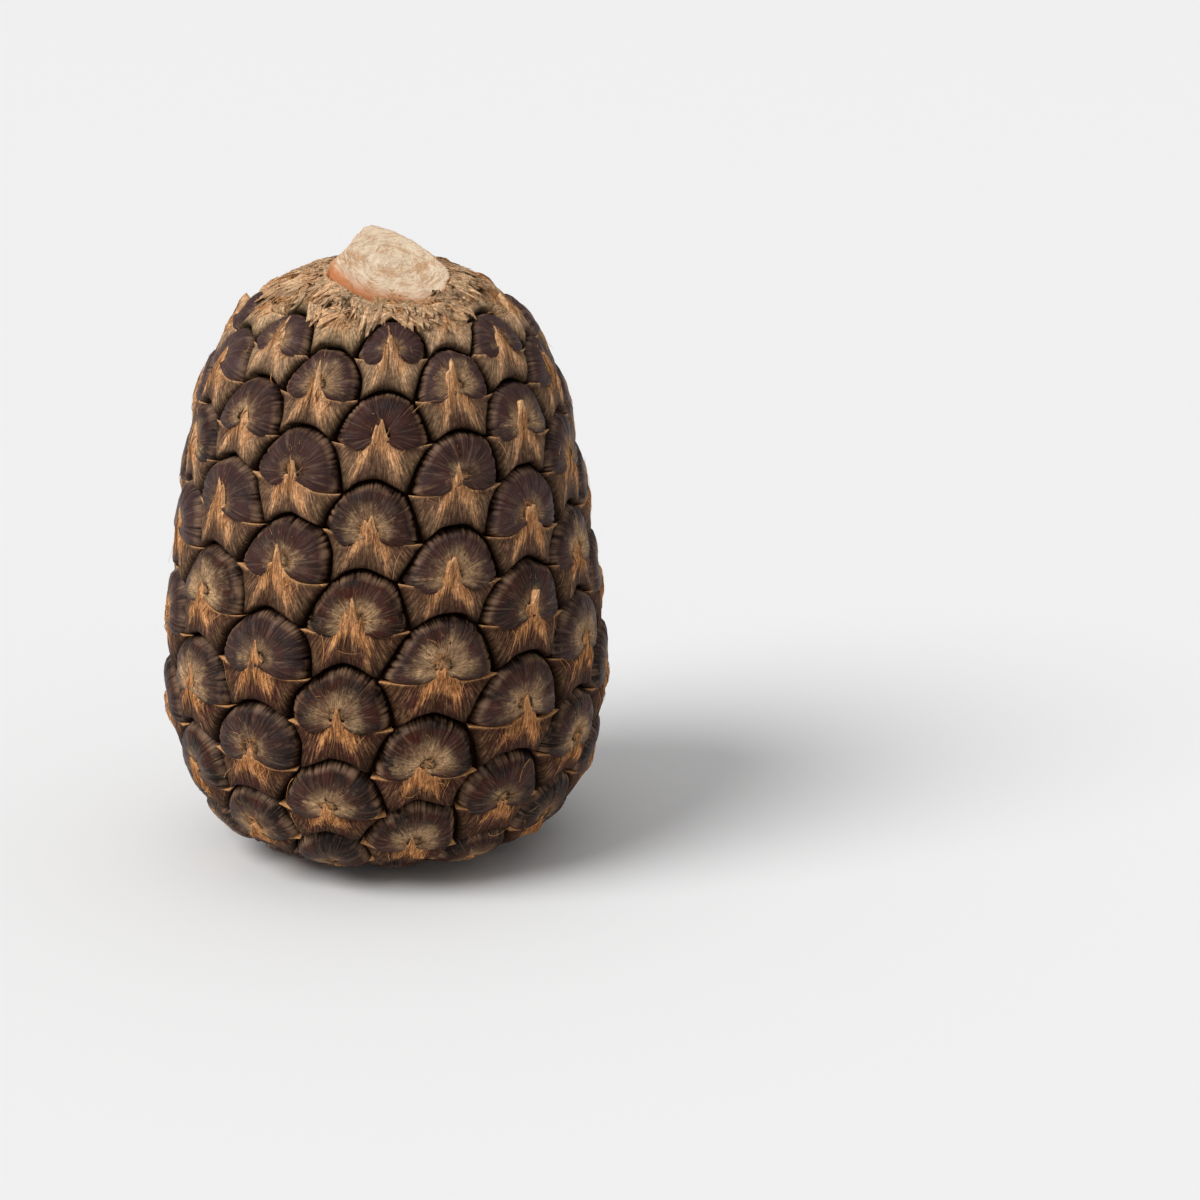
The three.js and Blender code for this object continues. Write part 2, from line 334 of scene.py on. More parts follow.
def grid_border(rows, columns):
    """The vertices round the border of a grid, in order."""
    index = np.arange(rows * columns).reshape(rows, columns)
    return np.concatenate((index[0], index[1:, -1], index[-1, -2::-1], index[-2:0:-1, 0]))


def copies(faces, count, size):
    """The same faces for each of count blocks of size vertices."""
    return (faces[None] + np.arange(count)[:, None, None] * size).reshape(-1, faces.shape[1])


def new_piece(name, points, quads, triangles, uv, masks, material, replaces=()):
    """A smooth mesh of quads and triangles from points in millimetres, with a UV map and masks given
    for each vertex, its material and the solids that it stands for."""
    mesh = bpy.data.meshes.new(name)
    corners = np.concatenate((quads.ravel(), triangles.ravel())).astype(np.int32)
    sides = np.concatenate((np.full(len(quads), 4), np.full(len(triangles), 3)))
    mesh.vertices.add(len(points))
    mesh.vertices.foreach_set("co", (points * MM).astype(np.float32).ravel())
    mesh.loops.add(len(corners))
    mesh.loops.foreach_set("vertex_index", corners)
    mesh.polygons.add(len(sides))
    mesh.polygons.foreach_set("loop_start", np.concatenate(([0], np.cumsum(sides)[:-1])).astype(np.int32))
    mesh.polygons.foreach_set("use_smooth", np.ones(len(sides), dtype=bool))
    layer = mesh.uv_layers.new(name="pattern")
    layer.uv.foreach_set("vector", uv[corners].astype(np.float32).ravel())
    for key, values in masks.items():
        attribute = mesh.attributes.new(key, "FLOAT", "POINT")
        attribute.data.foreach_set("value", values.astype(np.float32).ravel())
    mesh.update()
    mesh.validate()
    mesh.materials.append(material)
    piece = bpy.data.objects.new(name, mesh)
    bpy.context.scene.collection.objects.link(piece)
    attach(piece, "root")
    if replaces:
        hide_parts(*replaces)
    return piece


def add(tree, kind, inputs=None, **settings):
    """Adds a shader node of a kind, with its settings. Each input is a value, a socket to link, or a
    node whose first output in use is linked."""
    node = tree.nodes.new("ShaderNode" + kind)
    for key, value in settings.items():
        setattr(node, key, value)
    for key, value in (inputs or {}).items():
        if isinstance(value, bpy.types.Node):
            value = next(socket for socket in value.outputs if socket.enabled)
        if isinstance(value, bpy.types.NodeSocket):
            tree.links.new(value, node.inputs[key])
        else:
            node.inputs[key].default_value = value
    return node


MIX_A, MIX_B = 6, 7  # the colour inputs of a Mix node


def new_material(name, masks=()):
    """A new material, its tree, its texture coordinates and the values of its mesh's masks."""
    material = bpy.data.materials.new(name)
    material.use_nodes = True
    tree = material.node_tree
    tree.nodes.clear()
    place = add(tree, "TexCoord").outputs
    values = [add(tree, "Attribute", attribute_name=mask).outputs["Fac"] for mask in masks]
    return material, tree, place, values


def finish_material(material, tree, shader):
    """Joins the shader to the material's output."""
    add(tree, "OutputMaterial", {"Surface": shader})
    return material


def cap_material(colours):
    """Dried sepal skin, hard and slightly waxy: dark ribs with a painted sheen on their crests and rims,
    painted shade in their grooves, and a mottled felt middle.
    """
    masks = ("reach", "tone", "groove", "worn", "cover")
    material, tree, place, (reach, tone, groove, worn, cover) = new_material("waxy_sepal_skin", masks)
    # Streaks run out from the middle: broad ones two thirds of a rib wide, and short ones a third
    broad, fine = (
        add(tree, "Mapping", {"Vector": place["UV"], "Scale": scale})
        for scale in ((1.5, 1.3, 1), (3.2, 8, 1))
    )
    # The blotches' cells are 5 mm across and the felt's 0.9 mm
    streak, hair, blotch, felt = (
        add(tree, "TexNoise", {"Vector": at, "Scale": scale, "Detail": detail, "Roughness": rough})
        for at, scale, detail, rough in (
            (broad, 1, 4, 0.7),
            (fine, 1, 3, 0.7),
            (place["Object"], 190, 4, 0.6),
            (place["Object"], 1100, 5, 0.8),
        )
    )
    # Painted sheen: streaks on the rib crests and the highlight band at the rim take the pale crest colour
    blotched, crests = (
        add(tree, "MapRange", {0: source, 1: low, 2: high, 4: most})
        for source, low, high, most in ((blotch, 0.4, 0.6, 1), (streak, 0.5, 0.7, 0.38))
    )
    crested = add(tree, "Math", {0: worn, 1: blotched, 2: crests}, operation="MULTIPLY_ADD")
    # The felt reaches out from the middle as far as streaks, hairs and blotches let it
    covered = reach
    for source, weight in ((streak, 0.9), (hair, 0.8), (blotch, 0.9), (cover, -1.2)):
        covered = add(tree, "Math", {0: source, 1: weight, 2: covered}, operation="MULTIPLY_ADD")
    felted = add(tree, "MapRange", {0: covered, 1: 1.42, 2: 1.86, 3: 0.95, 4: 0})
    mottle = add(tree, "Math", {0: felt, 1: 0.4, 2: hair}, operation="MULTIPLY_ADD")
    shade = add(tree, "MapRange", {0: mottle, 1: 0.56, 2: 0.82})
    felts = {0: shade, MIX_A: colours["felt_brown"], MIX_B: colours["felt_pale"]}
    tan = add(tree, "Mix", felts, data_type="RGBA")
    # Over the dark base: red blotches, the tone, painted sheen on the crests, painted shade in the grooves
    # and round the rim, and the felt
    colour = colours["cap_dark"]
    for share, over in (
        (blotched, colours["cap_red"]),
        (tone, colours["cap_purple"]),
        (crested, colours["cap_crest"]),
        (groove, colours["crevice"]),
        (felted, tan),
    ):
        colour = add(tree, "Mix", {0: share, MIX_A: colour, MIX_B: over}, data_type="RGBA")
    rough = add(tree, "MapRange", {0: felted, 3: 0.4, 4: 0.85})
    grain = add(tree, "Math", {0: mottle, 1: 0.4, 2: streak}, operation="MULTIPLY_ADD")
    bump = add(tree, "Bump", {"Strength": 0.8, "Distance": 0.7 * MM, "Height": grain})
    shader = add(
        tree,
        "BsdfPrincipled",
        {"Base Color": colour, "Roughness": rough, "IOR": 1.35, "Specular IOR Level": 0.3, "Normal": bump},
    )
    return finish_material(material, tree, shader)


def bract_material(colours):
    """A dry papery bract: straw fibres fan from its tip, over thin mottled skin."""
    masks = ("straw", "rim", "side", "pale", "green", "dirt")
    material, tree, place, (straw, rim, side, pale, green, dirt) = new_material("dry_fibrous_bract", masks)
    # The UV map is the angle about the tip in radians and the distance from it in millimetres
    lanes = add(tree, "Mapping", {"Vector": place["UV"], "Scale": (38, 0.2, 1)})
    # The blotches' cells are 5 mm across and the specks' 0.9 mm
    fibre, blotch, speck = (
        add(tree, "TexNoise", {"Vector": at, "Scale": scale, "Detail": detail, "Roughness": rough})
        for at, scale, detail, rough in (
            (lanes, 1, 5, 0.75),
            (place["Object"], 210, 5, 0.6),
            (place["Object"], 1100, 4, 0.7),
        )
    )
    blotched, thread, fibred = (
        add(tree, "MapRange", {0: source, 1: low, 2: high, 4: most})
        for source, low, high, most in (
            (blotch, 0.4, 0.6, 1),
            (fibre, 0.47, 0.64, 0.55),
            (fibre, 0.42, 0.6, 1),
        )
    )
    straws = {0: fibred, MIX_A: colours["straw_orange"], MIX_B: colours["straw_pale"]}
    straw_colour = add(tree, "Mix", straws, data_type="RGBA")
    # Straw shows where its mask, the fibres and the blotches together are strong
    strength = straw
    for source, weight in ((fibre, 1.6), (blotch, 0.7)):
        strength = add(tree, "Math", {0: source, 1: weight, 2: strength}, operation="MULTIPLY_ADD")
    shown = add(tree, "MapRange", {0: strength, 1: 1.38, 2: 2})
    thin = add(tree, "MapRange", {0: fibred, 3: 0.4})
    bleach = add(tree, "Math", {0: thin, 1: pale}, operation="MULTIPLY")
    # Grey-tan threads lie thinly everywhere on the skin, and the straw lies over them
    colour = colours["bract_skin"]
    for share, over in (
        (blotched, colours["bract_red"]),
        (side, colours["bract_olive"]),
        (thread, colours["bract_grey"]),
        (shown, straw_colour),
        (rim, colours["straw_pale"]),
        (bleach, colours["straw_grey"]),
        (green, colours["moss"]),
        # painted shade: the crevice colour where the bract goes down into the crevices
        (dirt, colours["crevice"]),
    ):
        colour = add(tree, "Mix", {0: share, MIX_A: colour, MIX_B: over}, data_type="RGBA")
    speckle = add(tree, "MapRange", {0: speck, 1: 0.3, 2: 0.7, 3: 0.5, 4: 1.45})
    speckled = add(tree, "VectorMath", {0: colour, 1: speckle}, operation="MULTIPLY")
    height = add(tree, "Math", {0: speck, 1: 0.4, 2: fibre}, operation="MULTIPLY_ADD")
    bump = add(tree, "Bump", {"Strength": 0.7, "Distance": 0.6 * MM, "Height": height})
    shader = add(
        tree,
        "BsdfPrincipled",
        {"Base Color": speckled, "Roughness": 0.65, "IOR": 1.33, "Specular IOR Level": 0.25, "Normal": bump},
    )
    return finish_material(material, tree, shader)


def rind_material(colours):
    """The fleshy rind deep between the eyes: dull, painted near black as shade with olive blotches, dry and
    straw-coloured at both ends.
    """
    material, tree, place, (dry,) = new_material("crevice_rind", ("dry",))
    blotch = add(tree, "TexNoise", {"Vector": place["Object"], "Scale": 300, "Detail": 4})
    deep, torn = (
        add(tree, "Mix", {0: blotch, MIX_A: colours[dark], MIX_B: colours[light]}, data_type="RGBA")
        for dark, light in (("crevice", "bract_olive"), ("straw_brown", "straw_grey"))
    )
    colour = add(tree, "Mix", {0: dry, MIX_A: deep, MIX_B: torn}, data_type="RGBA")
    bump = add(tree, "Bump", {"Strength": 0.5, "Distance": 0.4 * MM, "Height": blotch})
    shader = add(
        tree,
        "BsdfPrincipled",
        {"Base Color": colour, "Roughness": 0.85, "IOR": 1.3, "Specular IOR Level": 0.1, "Normal": bump},
    )
    return finish_material(material, tree, shader)


def fibre_material(colours):
    """Dry fibres: straw, matt, each of its own shade and a little different along its length."""
    material, tree, place, (shade,) = new_material("loose_straw_fibre", ("shade",))
    change = add(tree, "TexNoise", {"Vector": place["Object"], "Scale": 260, "Detail": 3})
    mixed = add(tree, "Math", {0: change, 1: 0.6, 2: shade}, operation="MULTIPLY_ADD")
    share = add(tree, "MapRange", {0: mixed, 1: 0.2, 2: 1.3})
    straws = {0: share, MIX_A: colours["straw_brown"], MIX_B: colours["straw_pale"]}
    colour = add(tree, "Mix", straws, data_type="RGBA")
    shader = add(
        tree,
        "BsdfPrincipled",
        {"Base Color": colour, "Roughness": 0.6, "IOR": 1.33, "Specular IOR Level": 0.25},
    )
    return finish_material(material, tree, shader)


def cut_stem_material(name, colours, pale, rim):
    """Cut stem tissue: cream pith with short curved strokes of fibre about a point off its middle."""
    material, tree, place, (edge, scar) = new_material(name, ("edge", "scar"))
    # The UV map is in millimetres; a direction and a distance from the strokes' middle give their place
    drift = add(tree, "TexNoise", {"Vector": place["UV"], "Scale": 0.14, "Detail": 4})
    bend = {0: drift.outputs["Color"], 1: (6, 6, 0), 2: place["UV"]}
    bent = add(tree, "VectorMath", bend, operation="MULTIPLY_ADD")
    off = add(tree, "VectorMath", {0: bent, 1: (6.5, 3, 0)}, operation="SUBTRACT")
    length = add(tree, "VectorMath", {0: off}, operation="LENGTH")
    way = add(tree, "VectorMath", {0: off}, operation="NORMALIZE")
    layer = add(tree, "CombineXYZ", {"Z": length})
    spot = add(tree, "VectorMath", {0: way, 1: (2.4, 2.4, 0), 2: layer}, operation="MULTIPLY_ADD")
    stroke, fleck = (
        add(tree, "TexNoise", {"Vector": at, "Scale": scale, "Detail": 5, "Roughness": rough})
        for at, scale, rough in ((spot, 1.5, 0.7), (place["UV"], 1.3, 0.75))
    )
    patchy, worn, height = (
        add(tree, "Math", {0: source, 1: weight, 2: base}, operation="MULTIPLY_ADD")
        for source, weight, base in ((drift, 0.8, stroke), (stroke, 0.9, edge), (fleck, 0.5, stroke))
    )
    stroked, flecked, rimmed = (
        add(tree, "MapRange", {0: source, 1: low, 2: high, 4: most})
        for source, low, high, most in (
            (patchy, 0.85, 1.05, 0.8),
            (fleck, 0.57, 0.68, 0.8),
            (worn, 0.6, 1.35, 0.95),
        )
    )
    colour = colours[pale]
    for share, over in (
        (stroked, "pith_tan"),
        (flecked, "pith_brown"),
        (rimmed, rim),
        (scar, "straw_brown"),
    ):
        colour = add(tree, "Mix", {0: share, MIX_A: colour, MIX_B: colours[over]}, data_type="RGBA")
    bump = add(tree, "Bump", {"Strength": 0.8, "Distance": 0.9 * MM, "Height": height})
    shader = add(
        tree,
        "BsdfPrincipled",
        {"Base Color": colour, "Roughness": 0.7, "IOR": 1.4, "Normal": bump},
    )
    return finish_material(material, tree, shader)


def rind_piece(sizes, material):
    """The rind under caps and bracts: each eye is a fan of rings inside its edge, low at the middle and
    falling with the fifth power of the share of the way out to the crevice."""
    eyes = Eyes(LOWEST_ROW - RIND_ROWS, HIGHEST_ROW + RIND_ROWS, sizes)
    count, spokes = len(eyes.right), 2 * len(EDGE)
    edge = np.empty((count, spokes, 2))
    edge[:, ::2] = eyes.edge
    edge[:, 1::2] = (eyes.edge + np.roll(eyes.edge, -1, axis=1)) / 2
    rise = -RIND_MIDDLE - (sizes.crevice_depth / MM - RIND_MIDDLE) * RIND_RINGS**5
    rings = eyes.points(edge[:, None] * RIND_RINGS[:, None, None], rise[:, None])
    middle = eyes.points(np.zeros((count, 1, 2)), np.array((rise[-1],)))
    points = np.concatenate((rings.reshape(count, -1, 3), middle), axis=1)
    size = points.shape[1]
    quads = copies(grid_quads(len(RIND_RINGS), spokes, True)[:, ::-1], count, size)
    fans = copies(fan_triangles(np.arange(size - 1 - spokes, size - 1), size - 1)[:, ::-1], count, size)
    flat = points.reshape(-1, 3)
    dry = smooth(*DRY_TOP_ROWS, eyes.row) + 0.55 * smooth(*DRY_FOOT_ROWS, -eyes.row)
    masks = {"dry": np.repeat(dry, size)}
    piece = new_piece("rind", flat, quads, fans, flat[:, :2], masks, material, ("fruit",))
    turn_out(piece, joined=True)


def turn_out(piece, joined=False):
    """Turns the faces of closed forms outwards. Joined forms first have the points that neighbours
    share merged and the holes at their ends closed."""
    mesh = bmesh.new()
    mesh.from_mesh(piece.data)
    if joined:
        bmesh.ops.remove_doubles(mesh, verts=mesh.verts, dist=MERGED * MM)
        bmesh.ops.holes_fill(mesh, edges=[edge for edge in mesh.edges if edge.is_boundary], sides=0)
        bmesh.ops.triangulate(mesh, faces=[face for face in mesh.faces if len(face.verts) > 4])
    bmesh.ops.recalc_face_normals(mesh, faces=mesh.faces)
    mesh.to_mesh(piece.data)
    mesh.free()


CAP_FOCUS = np.array((0.02, 0.12))
# The cap's outline: each edge point's share of the way out, and the three points under its lobes
CAP_SHARES = (0.93, 0.985, 0.99, 0.985, 0.98, 0.985, 1.0, 0.99, 0.93)
CAP_UNDERSIDE = ((-0.33, -0.1), (0.0, -0.02), (0.35, -0.1))
ARCH_SPOKES = 14  # spokes from one point of the arch to the next
UNDER_SPOKES = 4
RIBS_A_SPAN = 4
CAP_RINGS = np.array((0.16, 0.33, 0.5, 0.65, 0.78, 0.87, 0.93, 0.97, 0.99, 1.0))


def cap_rise(reach, sizes):
    """Height of a cap over the outline: a low dome with a tight round edge down to the crevice, with a
    dip at its middle and a roll inside its rim."""
    dome = 1.5 * (1 - reach**2.2)
    edge = (sizes.cap_lift + sizes.crevice_depth) / MM * (1 - np.sqrt(np.clip(1 - reach**6.5, 0, 1)))
    dip = 1.3 * np.exp(-((reach / 0.34) ** 2))
    roll = 0.22 * np.exp(-(((reach - 0.8) / 0.12) ** 2))
    return sizes.cap_lift / MM + dome - edge - dip + roll


def cap_outlines(eyes):
    """Each spoke's place on a cap's outline, counted in its points, and there the closed curve through
    the shares of the eye's own edge points and the points under the cap's lobes."""
    arch = eyes.edge[:, : LEFT_HORN + 1] * np.array(CAP_SHARES)[:, None]
    under = np.broadcast_to(np.array(CAP_UNDERSIDE), (len(arch), len(CAP_UNDERSIDE), 2))
    outline = np.concatenate((arch, under), axis=1)
    over_arch = np.arange(0, LEFT_HORN, 1 / ARCH_SPOKES)
    span = np.concatenate((over_arch, np.arange(LEFT_HORN, outline.shape[1], 1 / UNDER_SPOKES)))
    return span, catmull(outline, span, closed=True)


def cap_ribs(eyes, span):
    """At each spoke: the count of ribs up to it, unevenly wide by two sine waves; the depth of the groove
    there, the cube of its distance from a rib's crest; and how far out it starts. The waves' phases too."""
    phase = [eyes.draw(kind)[:, None, None] * math.pi for kind in range(RIB_WAVE, RIB_WAVE + 3)]
    ribs = span * RIBS_A_SPAN
    wobble = 0.5 * np.sin(ribs * 0.7 + phase[0]) + 0.3 * np.sin(ribs * 1.7 + phase[1])
    turn = ribs + wobble
    groove = np.abs(2 * (turn - np.floor(turn)) - 1) ** 3
    groove = groove * (0.6 + 0.4 * np.sin(ribs * 0.9 + phase[2]) * np.sin(ribs * 2.3 + phase[0]))
    groove = np.where(span < LEFT_HORN, groove, 0.3)
    return turn, groove, 0.42 + 0.16 * np.sin(ribs * 1.3 + phase[1]), phase


def caps_piece(name, sizes, material, lowest, highest):
    """Caps of the eyes between two rows. Each is a fan of spokes from its focus to a closed curve
    inside the eye's edge; ribs with narrow grooves run along the spokes and notch the rim, products of
    sine waves make it lumpy, and those under the crown's remains are pressed down."""
    eyes = Eyes(lowest, highest, sizes)
    count = len(eyes.right)
    span, rim = cap_outlines(eyes)
    turn, groove, starts, phase = cap_ribs(eyes, span)
    reach = CAP_RINGS[None, :, None]
    strength = smooth(0, 0.4, reach - starts) * (1 - smooth(0.97, 1, reach))
    notch = 1 - 0.065 * groove * smooth(0.7, 1, reach)
    local = CAP_FOCUS + (rim[:, None] - CAP_FOCUS) * (reach * notch)[..., None]
    cover = smooth(*COVERED_ROWS, eyes.row + 0.15 * eyes.draw(COVER))[:, None, None]
    lift = (0.35 * eyes.draw(LIFT)[:, None, None] - 1.3 * cover) * (1 - reach**2)
    x, y = local[..., 0], local[..., 1]
    wave = 3 * phase[1], 3 * phase[2]
    lumps = 0.24 * np.sin(7 * x + wave[0]) * np.sin(6 * y + wave[1])
    lumps = lumps + 0.1 * np.sin(19 * x - 8 * y + wave[1]) * np.sin(17 * y + 5 * x + wave[0])
    rise = cap_rise(reach, sizes) + lift + lumps - sizes.rib_depth / MM * groove * strength
    hub_place = np.broadcast_to(CAP_FOCUS, (count, 2, 2))
    hubs = eyes.points(hub_place, np.array((cap_rise(0.0, sizes), BURIED)))
    points = np.concatenate((eyes.points(local, rise).reshape(count, -1, 3), hubs), axis=1)
    size, spokes = points.shape[1], len(span)
    quads = copies(grid_quads(len(CAP_RINGS), spokes, True), count, size)
    triangles = copies(end_fans(spokes, size), count, size)
    masks = cap_masks(eyes, reach, groove, strength, cover.ravel(), size)
    rib_uv = with_hubs(np.broadcast_to(turn, rise.shape), (0, 0))
    uv = np.stack((rib_uv + np.repeat(eyes.draw(PATTERN) * CAP_SHIFT, size), masks["reach"]), axis=-1)
    return new_piece(name, points.reshape(-1, 3), quads, triangles, uv, masks, material)


def cap_masks(eyes, reach, groove, strength, cover, size):
    """A cap's masks: the reach from its focus; painted shade in its grooves and round its rim; its tone,
    which rises up the fruit, partly as painted light; a painted highlight on its shoulder between grooves;
    and how much felt it has, with patches by draw."""
    shape = np.broadcast_shapes(reach.shape, groove.shape)
    # Painted shade: the crevice colour darkens the rib grooves and, more and more, the rim where the cap
    # falls into the crevice
    grooved = 0.85 * groove * strength + 0.8 * smooth(0.87, 1, reach) ** 1.3
    # Painted highlight: a pale band on the rim's shoulder between the grooves
    worn = np.exp(-(((reach - 0.91) / 0.05) ** 2)) * (1 - groove)
    # The tone rises up the fruit: partly the caps' own purple-grey, partly painted light that leaves the
    # lower caps darker and the upper ones lighter
    tone = 0.25 + 0.2 * eyes.row + 0.35 * eyes.draw(TONE)
    upper = np.clip(eyes.row, 0, 3)
    felt = (0.14 + 0.05 * upper) * eyes.draw(FELT) - 0.05 * upper
    return {
        "reach": with_hubs(np.broadcast_to(reach, shape), (0, 1)),
        "groove": with_hubs(np.clip(grooved, 0, 1), (0, 0.8)),
        "tone": np.repeat(np.clip(tone, 0, 1), size),
        "worn": with_hubs(worn, (0, 0)),
        "cover": np.repeat(cover + felt, size),
    }


def with_hubs(values, hubs):
    """Values on each eye's grid, then its hubs', as one list over all vertices."""
    count = values.shape[0]
    tail = np.broadcast_to(np.array(hubs, dtype=float), (count, len(hubs)))
    return np.concatenate((values.reshape(count, -1), tail), axis=1).ravel()


BRACT_ROWS = 25
BRACT_COLUMNS = 34
ROW_SPACING = 1.15  # powers that crowd the bracts' grid lines towards the tip and the middle
COLUMN_SPACING = 1.5
# A bract's corners by their share of the way out to the eye's edge, and its hidden middle
SIDE_SHARE = 0.985
FOOT_SHARE = 0.98
BRACT_MIDDLE = np.array((0.0, -0.2))


def bract_places(eyes, sizes):
    """Where the bracts' grids lie, across and up from each eye's middle: each is stretched between its
    rim line, its two sides and the arch below it. The rim line rises over the cap to a pointed tip,
    which falls off exponentially to both sides and is forked by a sine wave."""
    edge = eyes.edge
    t = np.linspace(-1, 1, BRACT_COLUMNS + 1)
    b = np.sign(t) * np.abs(t) ** COLUMN_SPACING
    a = np.linspace(0, 1, BRACT_ROWS + 1) ** ROW_SPACING
    s = ((b + 1) / 2)[None, :, None]
    down = a[:, None, None]
    horns = edge[:, (LEFT_HORN, RIGHT_HORN)] * SIDE_SHARE
    feet = edge[:, (LEFT_FOOT, RIGHT_FOOT)] * FOOT_SHARE
    tip = sizes.tip_length / MM / EYE_PITCH * (1 + 0.3 * eyes.draw(TIP_LENGTH) + 0.14 * eyes.row)
    tip = (tip * (1 - 0.6 * smooth(*SHORT_TIP_ROWS, eyes.row)))[:, None]
    lean = 0.045 * eyes.draw(TIP_LEAN)[:, None]
    top = horns[:, :1] * (1 - s[0]) + horns[:, 1:] * s[0]
    away = np.abs(top[..., 0] - lean) / (0.105 + 0.03 * eyes.draw(TIP_WIDTH)[:, None])
    forked = 1 + 0.22 * np.sin(62 * (top[..., 0] - lean) + 3 * eyes.draw(FORK)[:, None])
    top[..., 1] += -0.05 * (1 - b**2) + tip * forked * np.exp(-(away**1.25))
    arch = edge[:, LEFT_FOOT : RIGHT_FOOT + 1] * FOOT_SHARE
    low = catmull(arch, s[0, :, 0] * (RIGHT_FOOT - LEFT_FOOT))
    left = catmull(np.stack((horns[:, 0], edge[:, LEFT_SIDE] * SIDE_SHARE, feet[:, 0]), axis=1), a * 2)
    right = catmull(np.stack((horns[:, 1], edge[:, RIGHT_SIDE] * SIDE_SHARE, feet[:, 1]), axis=1), a * 2)
    across = top[:, None] * (1 - down) + low[:, None] * down
    upright = left[:, :, None] * (1 - s) + right[:, :, None] * s
    corners = (horns[:, None, :1] * (1 - s) + horns[:, None, 1:] * s) * (1 - down)
    corners = corners + (feet[:, None, :1] * (1 - s) + feet[:, None, 1:] * s) * down
    return across + upright - corners, a[None, :, None], b[None, None, :], lean[..., None]


def bract_relief(eyes, local, a, b, lean):
    """The bracts' rise over the outline, their masks and their fan, the angle about the tip and the
    distance from it. A tower stands under the tip, two low ridges run to the lower corners, fine
    strands follow the fan, and the border turns down into the rind."""
    x, y = local[..., 0], local[..., 1]
    side = np.abs(b)
    row = eyes.row[:, None, None]
    wave = eyes.draw(BRACT_WAVE)[:, None, None] * math.pi
    reach = (x - lean) * 23, (0.4 - y) * 25 + 2
    fan = np.arctan2(reach[0], np.maximum(reach[1], 0.8))
    distance = np.hypot(*reach)
    climb = np.clip(y / 0.3, 0, 1)
    free = 2.8 * np.clip(eyes.draw(FREE_TIP), 0, None)[:, None, None] ** 2
    tower = np.exp(-(((x - lean) / (0.18 - 0.09 * climb)) ** 2)) * (1 - smooth(0.3, 0.75, a))
    legs = np.exp(-(((side - 0.1 - 0.6 * a) / (0.09 + 0.06 * a)) ** 2))
    legs = legs * smooth(0.05, 0.3, a) * (1 - 0.55 * a)
    hollow = np.exp(-(((a - 0.17) / 0.1) ** 2)) * (1 - tower)
    rise = 0.25 + 0.35 * np.sin(math.pi * a) - 0.5 * hollow
    rise = rise + tower * (1.15 + 0.05 * climb + free * climb**2) + 0.38 * legs
    rise = rise - 1.9 * smooth(0.88, 1, side) * smooth(0, 0.35, a) - 0.6 * smooth(0.6, 1, side)
    rise = rise - 1.3 * smooth(0.93, 1, a)
    rise = rise + 0.2 * np.sin(13 * x + 4 * y + wave) * np.sin(10 * y + 2 * wave)
    strands = np.sin(29 * fan + 2 * wave) + 0.7 * np.sin(53 * fan + 5 * wave + 0.2 * distance)
    rise = rise + 0.085 * strands * np.clip(tower + legs + 0.25, 0, 1)
    fanned = 1.05 * tower + (0.72 + 0.1 * row) * legs + 0.45 * np.exp(-a / 0.12)
    bleached = 0.45 * smooth(-1, 2.2, row) * np.clip(0.35 + fanned, 0, 1)
    masks = {
        "straw": np.clip(fanned + 0.03 * row, 0, 1.15),
        "rim": np.exp(-a / 0.04) * 0.75,
        # The sides, where the bract goes down between the caps, take the darker olive-brown: partly the
        # bract's own colour, partly painted shade
        "side": smooth(0.5, 0.95, side) * smooth(0.1, 0.5, a) * 0.8,
        "pale": np.clip(bleached + 0.7 * smooth(*BLEACHED_ROWS, row) + 0.4 * climb * tower, 0, 1),
        "green": 0.5 * smooth(0.25, 0.6, eyes.draw(GREEN)[:, None, None] * smooth(2.2, 3, row)) * a,
    }
    # Painted shade: the crevice colour darkens each bract towards its lower edge, along its sides and in the
    # hollow under its tip, less so near the crown
    below = smooth(0.5, 1, a) ** 1.8
    beside = smooth(0.78, 1, side) ** 1.5 * smooth(0, 0.3, a)
    masks["dirt"] = np.clip(0.8 * (below + beside) + 0.35 * hollow * (1 - smooth(2.5, 3.2, row)), 0, 0.95)
    masks = {key: np.broadcast_to(mask, rise.shape) for key, mask in masks.items()}
    return rise, masks, fan, distance


def bracts_piece(name, sizes, material, lowest, highest):
    """Bracts of the eyes between two rows, each closed by a border that runs down into the rind."""
    eyes = Eyes(lowest, highest, sizes)
    count = len(eyes.right)
    local, a, b, lean = bract_places(eyes, sizes)
    rise, masks, fan, distance = bract_relief(eyes, local, a, b, lean)
    around = ((0, 0), (1, 1), (1, 1))
    border_mask = np.pad(np.zeros(rise.shape), around, constant_values=1)
    grid = np.pad(local, (*around, (0, 0)), mode="edge")
    grid = grid + (BRACT_MIDDLE - grid) * (0.04 * border_mask)[..., None]
    rise = np.pad(rise, around, constant_values=0.6 - sizes.crevice_depth / MM)
    rows, columns = rise.shape[1:]
    hub = eyes.points(np.broadcast_to(BRACT_MIDDLE, (count, 1, 2)), np.array((BURIED,)))
    points = np.concatenate((eyes.points(grid, rise).reshape(count, -1, 3), hub), axis=1)
    size = points.shape[1]
    quads = copies(grid_quads(rows, columns, False)[:, ::-1], count, size)
    triangles = copies(fan_triangles(grid_border(rows, columns), size - 1)[:, ::-1], count, size)
    spread = {**masks, "u": fan, "v": distance}
    spread = {key: with_hubs(np.pad(values, around, mode="edge"), (0,)) for key, values in spread.items()}
    uv = np.stack((spread.pop("u"), spread.pop("v")), axis=-1)
    uv = uv + np.repeat(eyes.draw(PATTERN) * BRACT_SHIFT, size)[:, None]
    new_piece(name, points.reshape(-1, 3), quads, triangles, uv, spread, material)


HAIR_STEPS = 5
HAIR_SIDES = 3
HAIR_WAY = np.linspace(0, 1, HAIR_STEPS)  # the shares of the way along a hair, at its rings
STRANDS_AN_EYE = 34
TUFT_HAIRS = 30
CROWN_TUFT_HAIRS = 45
NEAR_CROWN = 2.9  # the row past which eyes have the crown's tufts
LOWEST_TUFT = -3.6
LOOSE_HAIRS = 90
FUZZ_HAIRS = 520


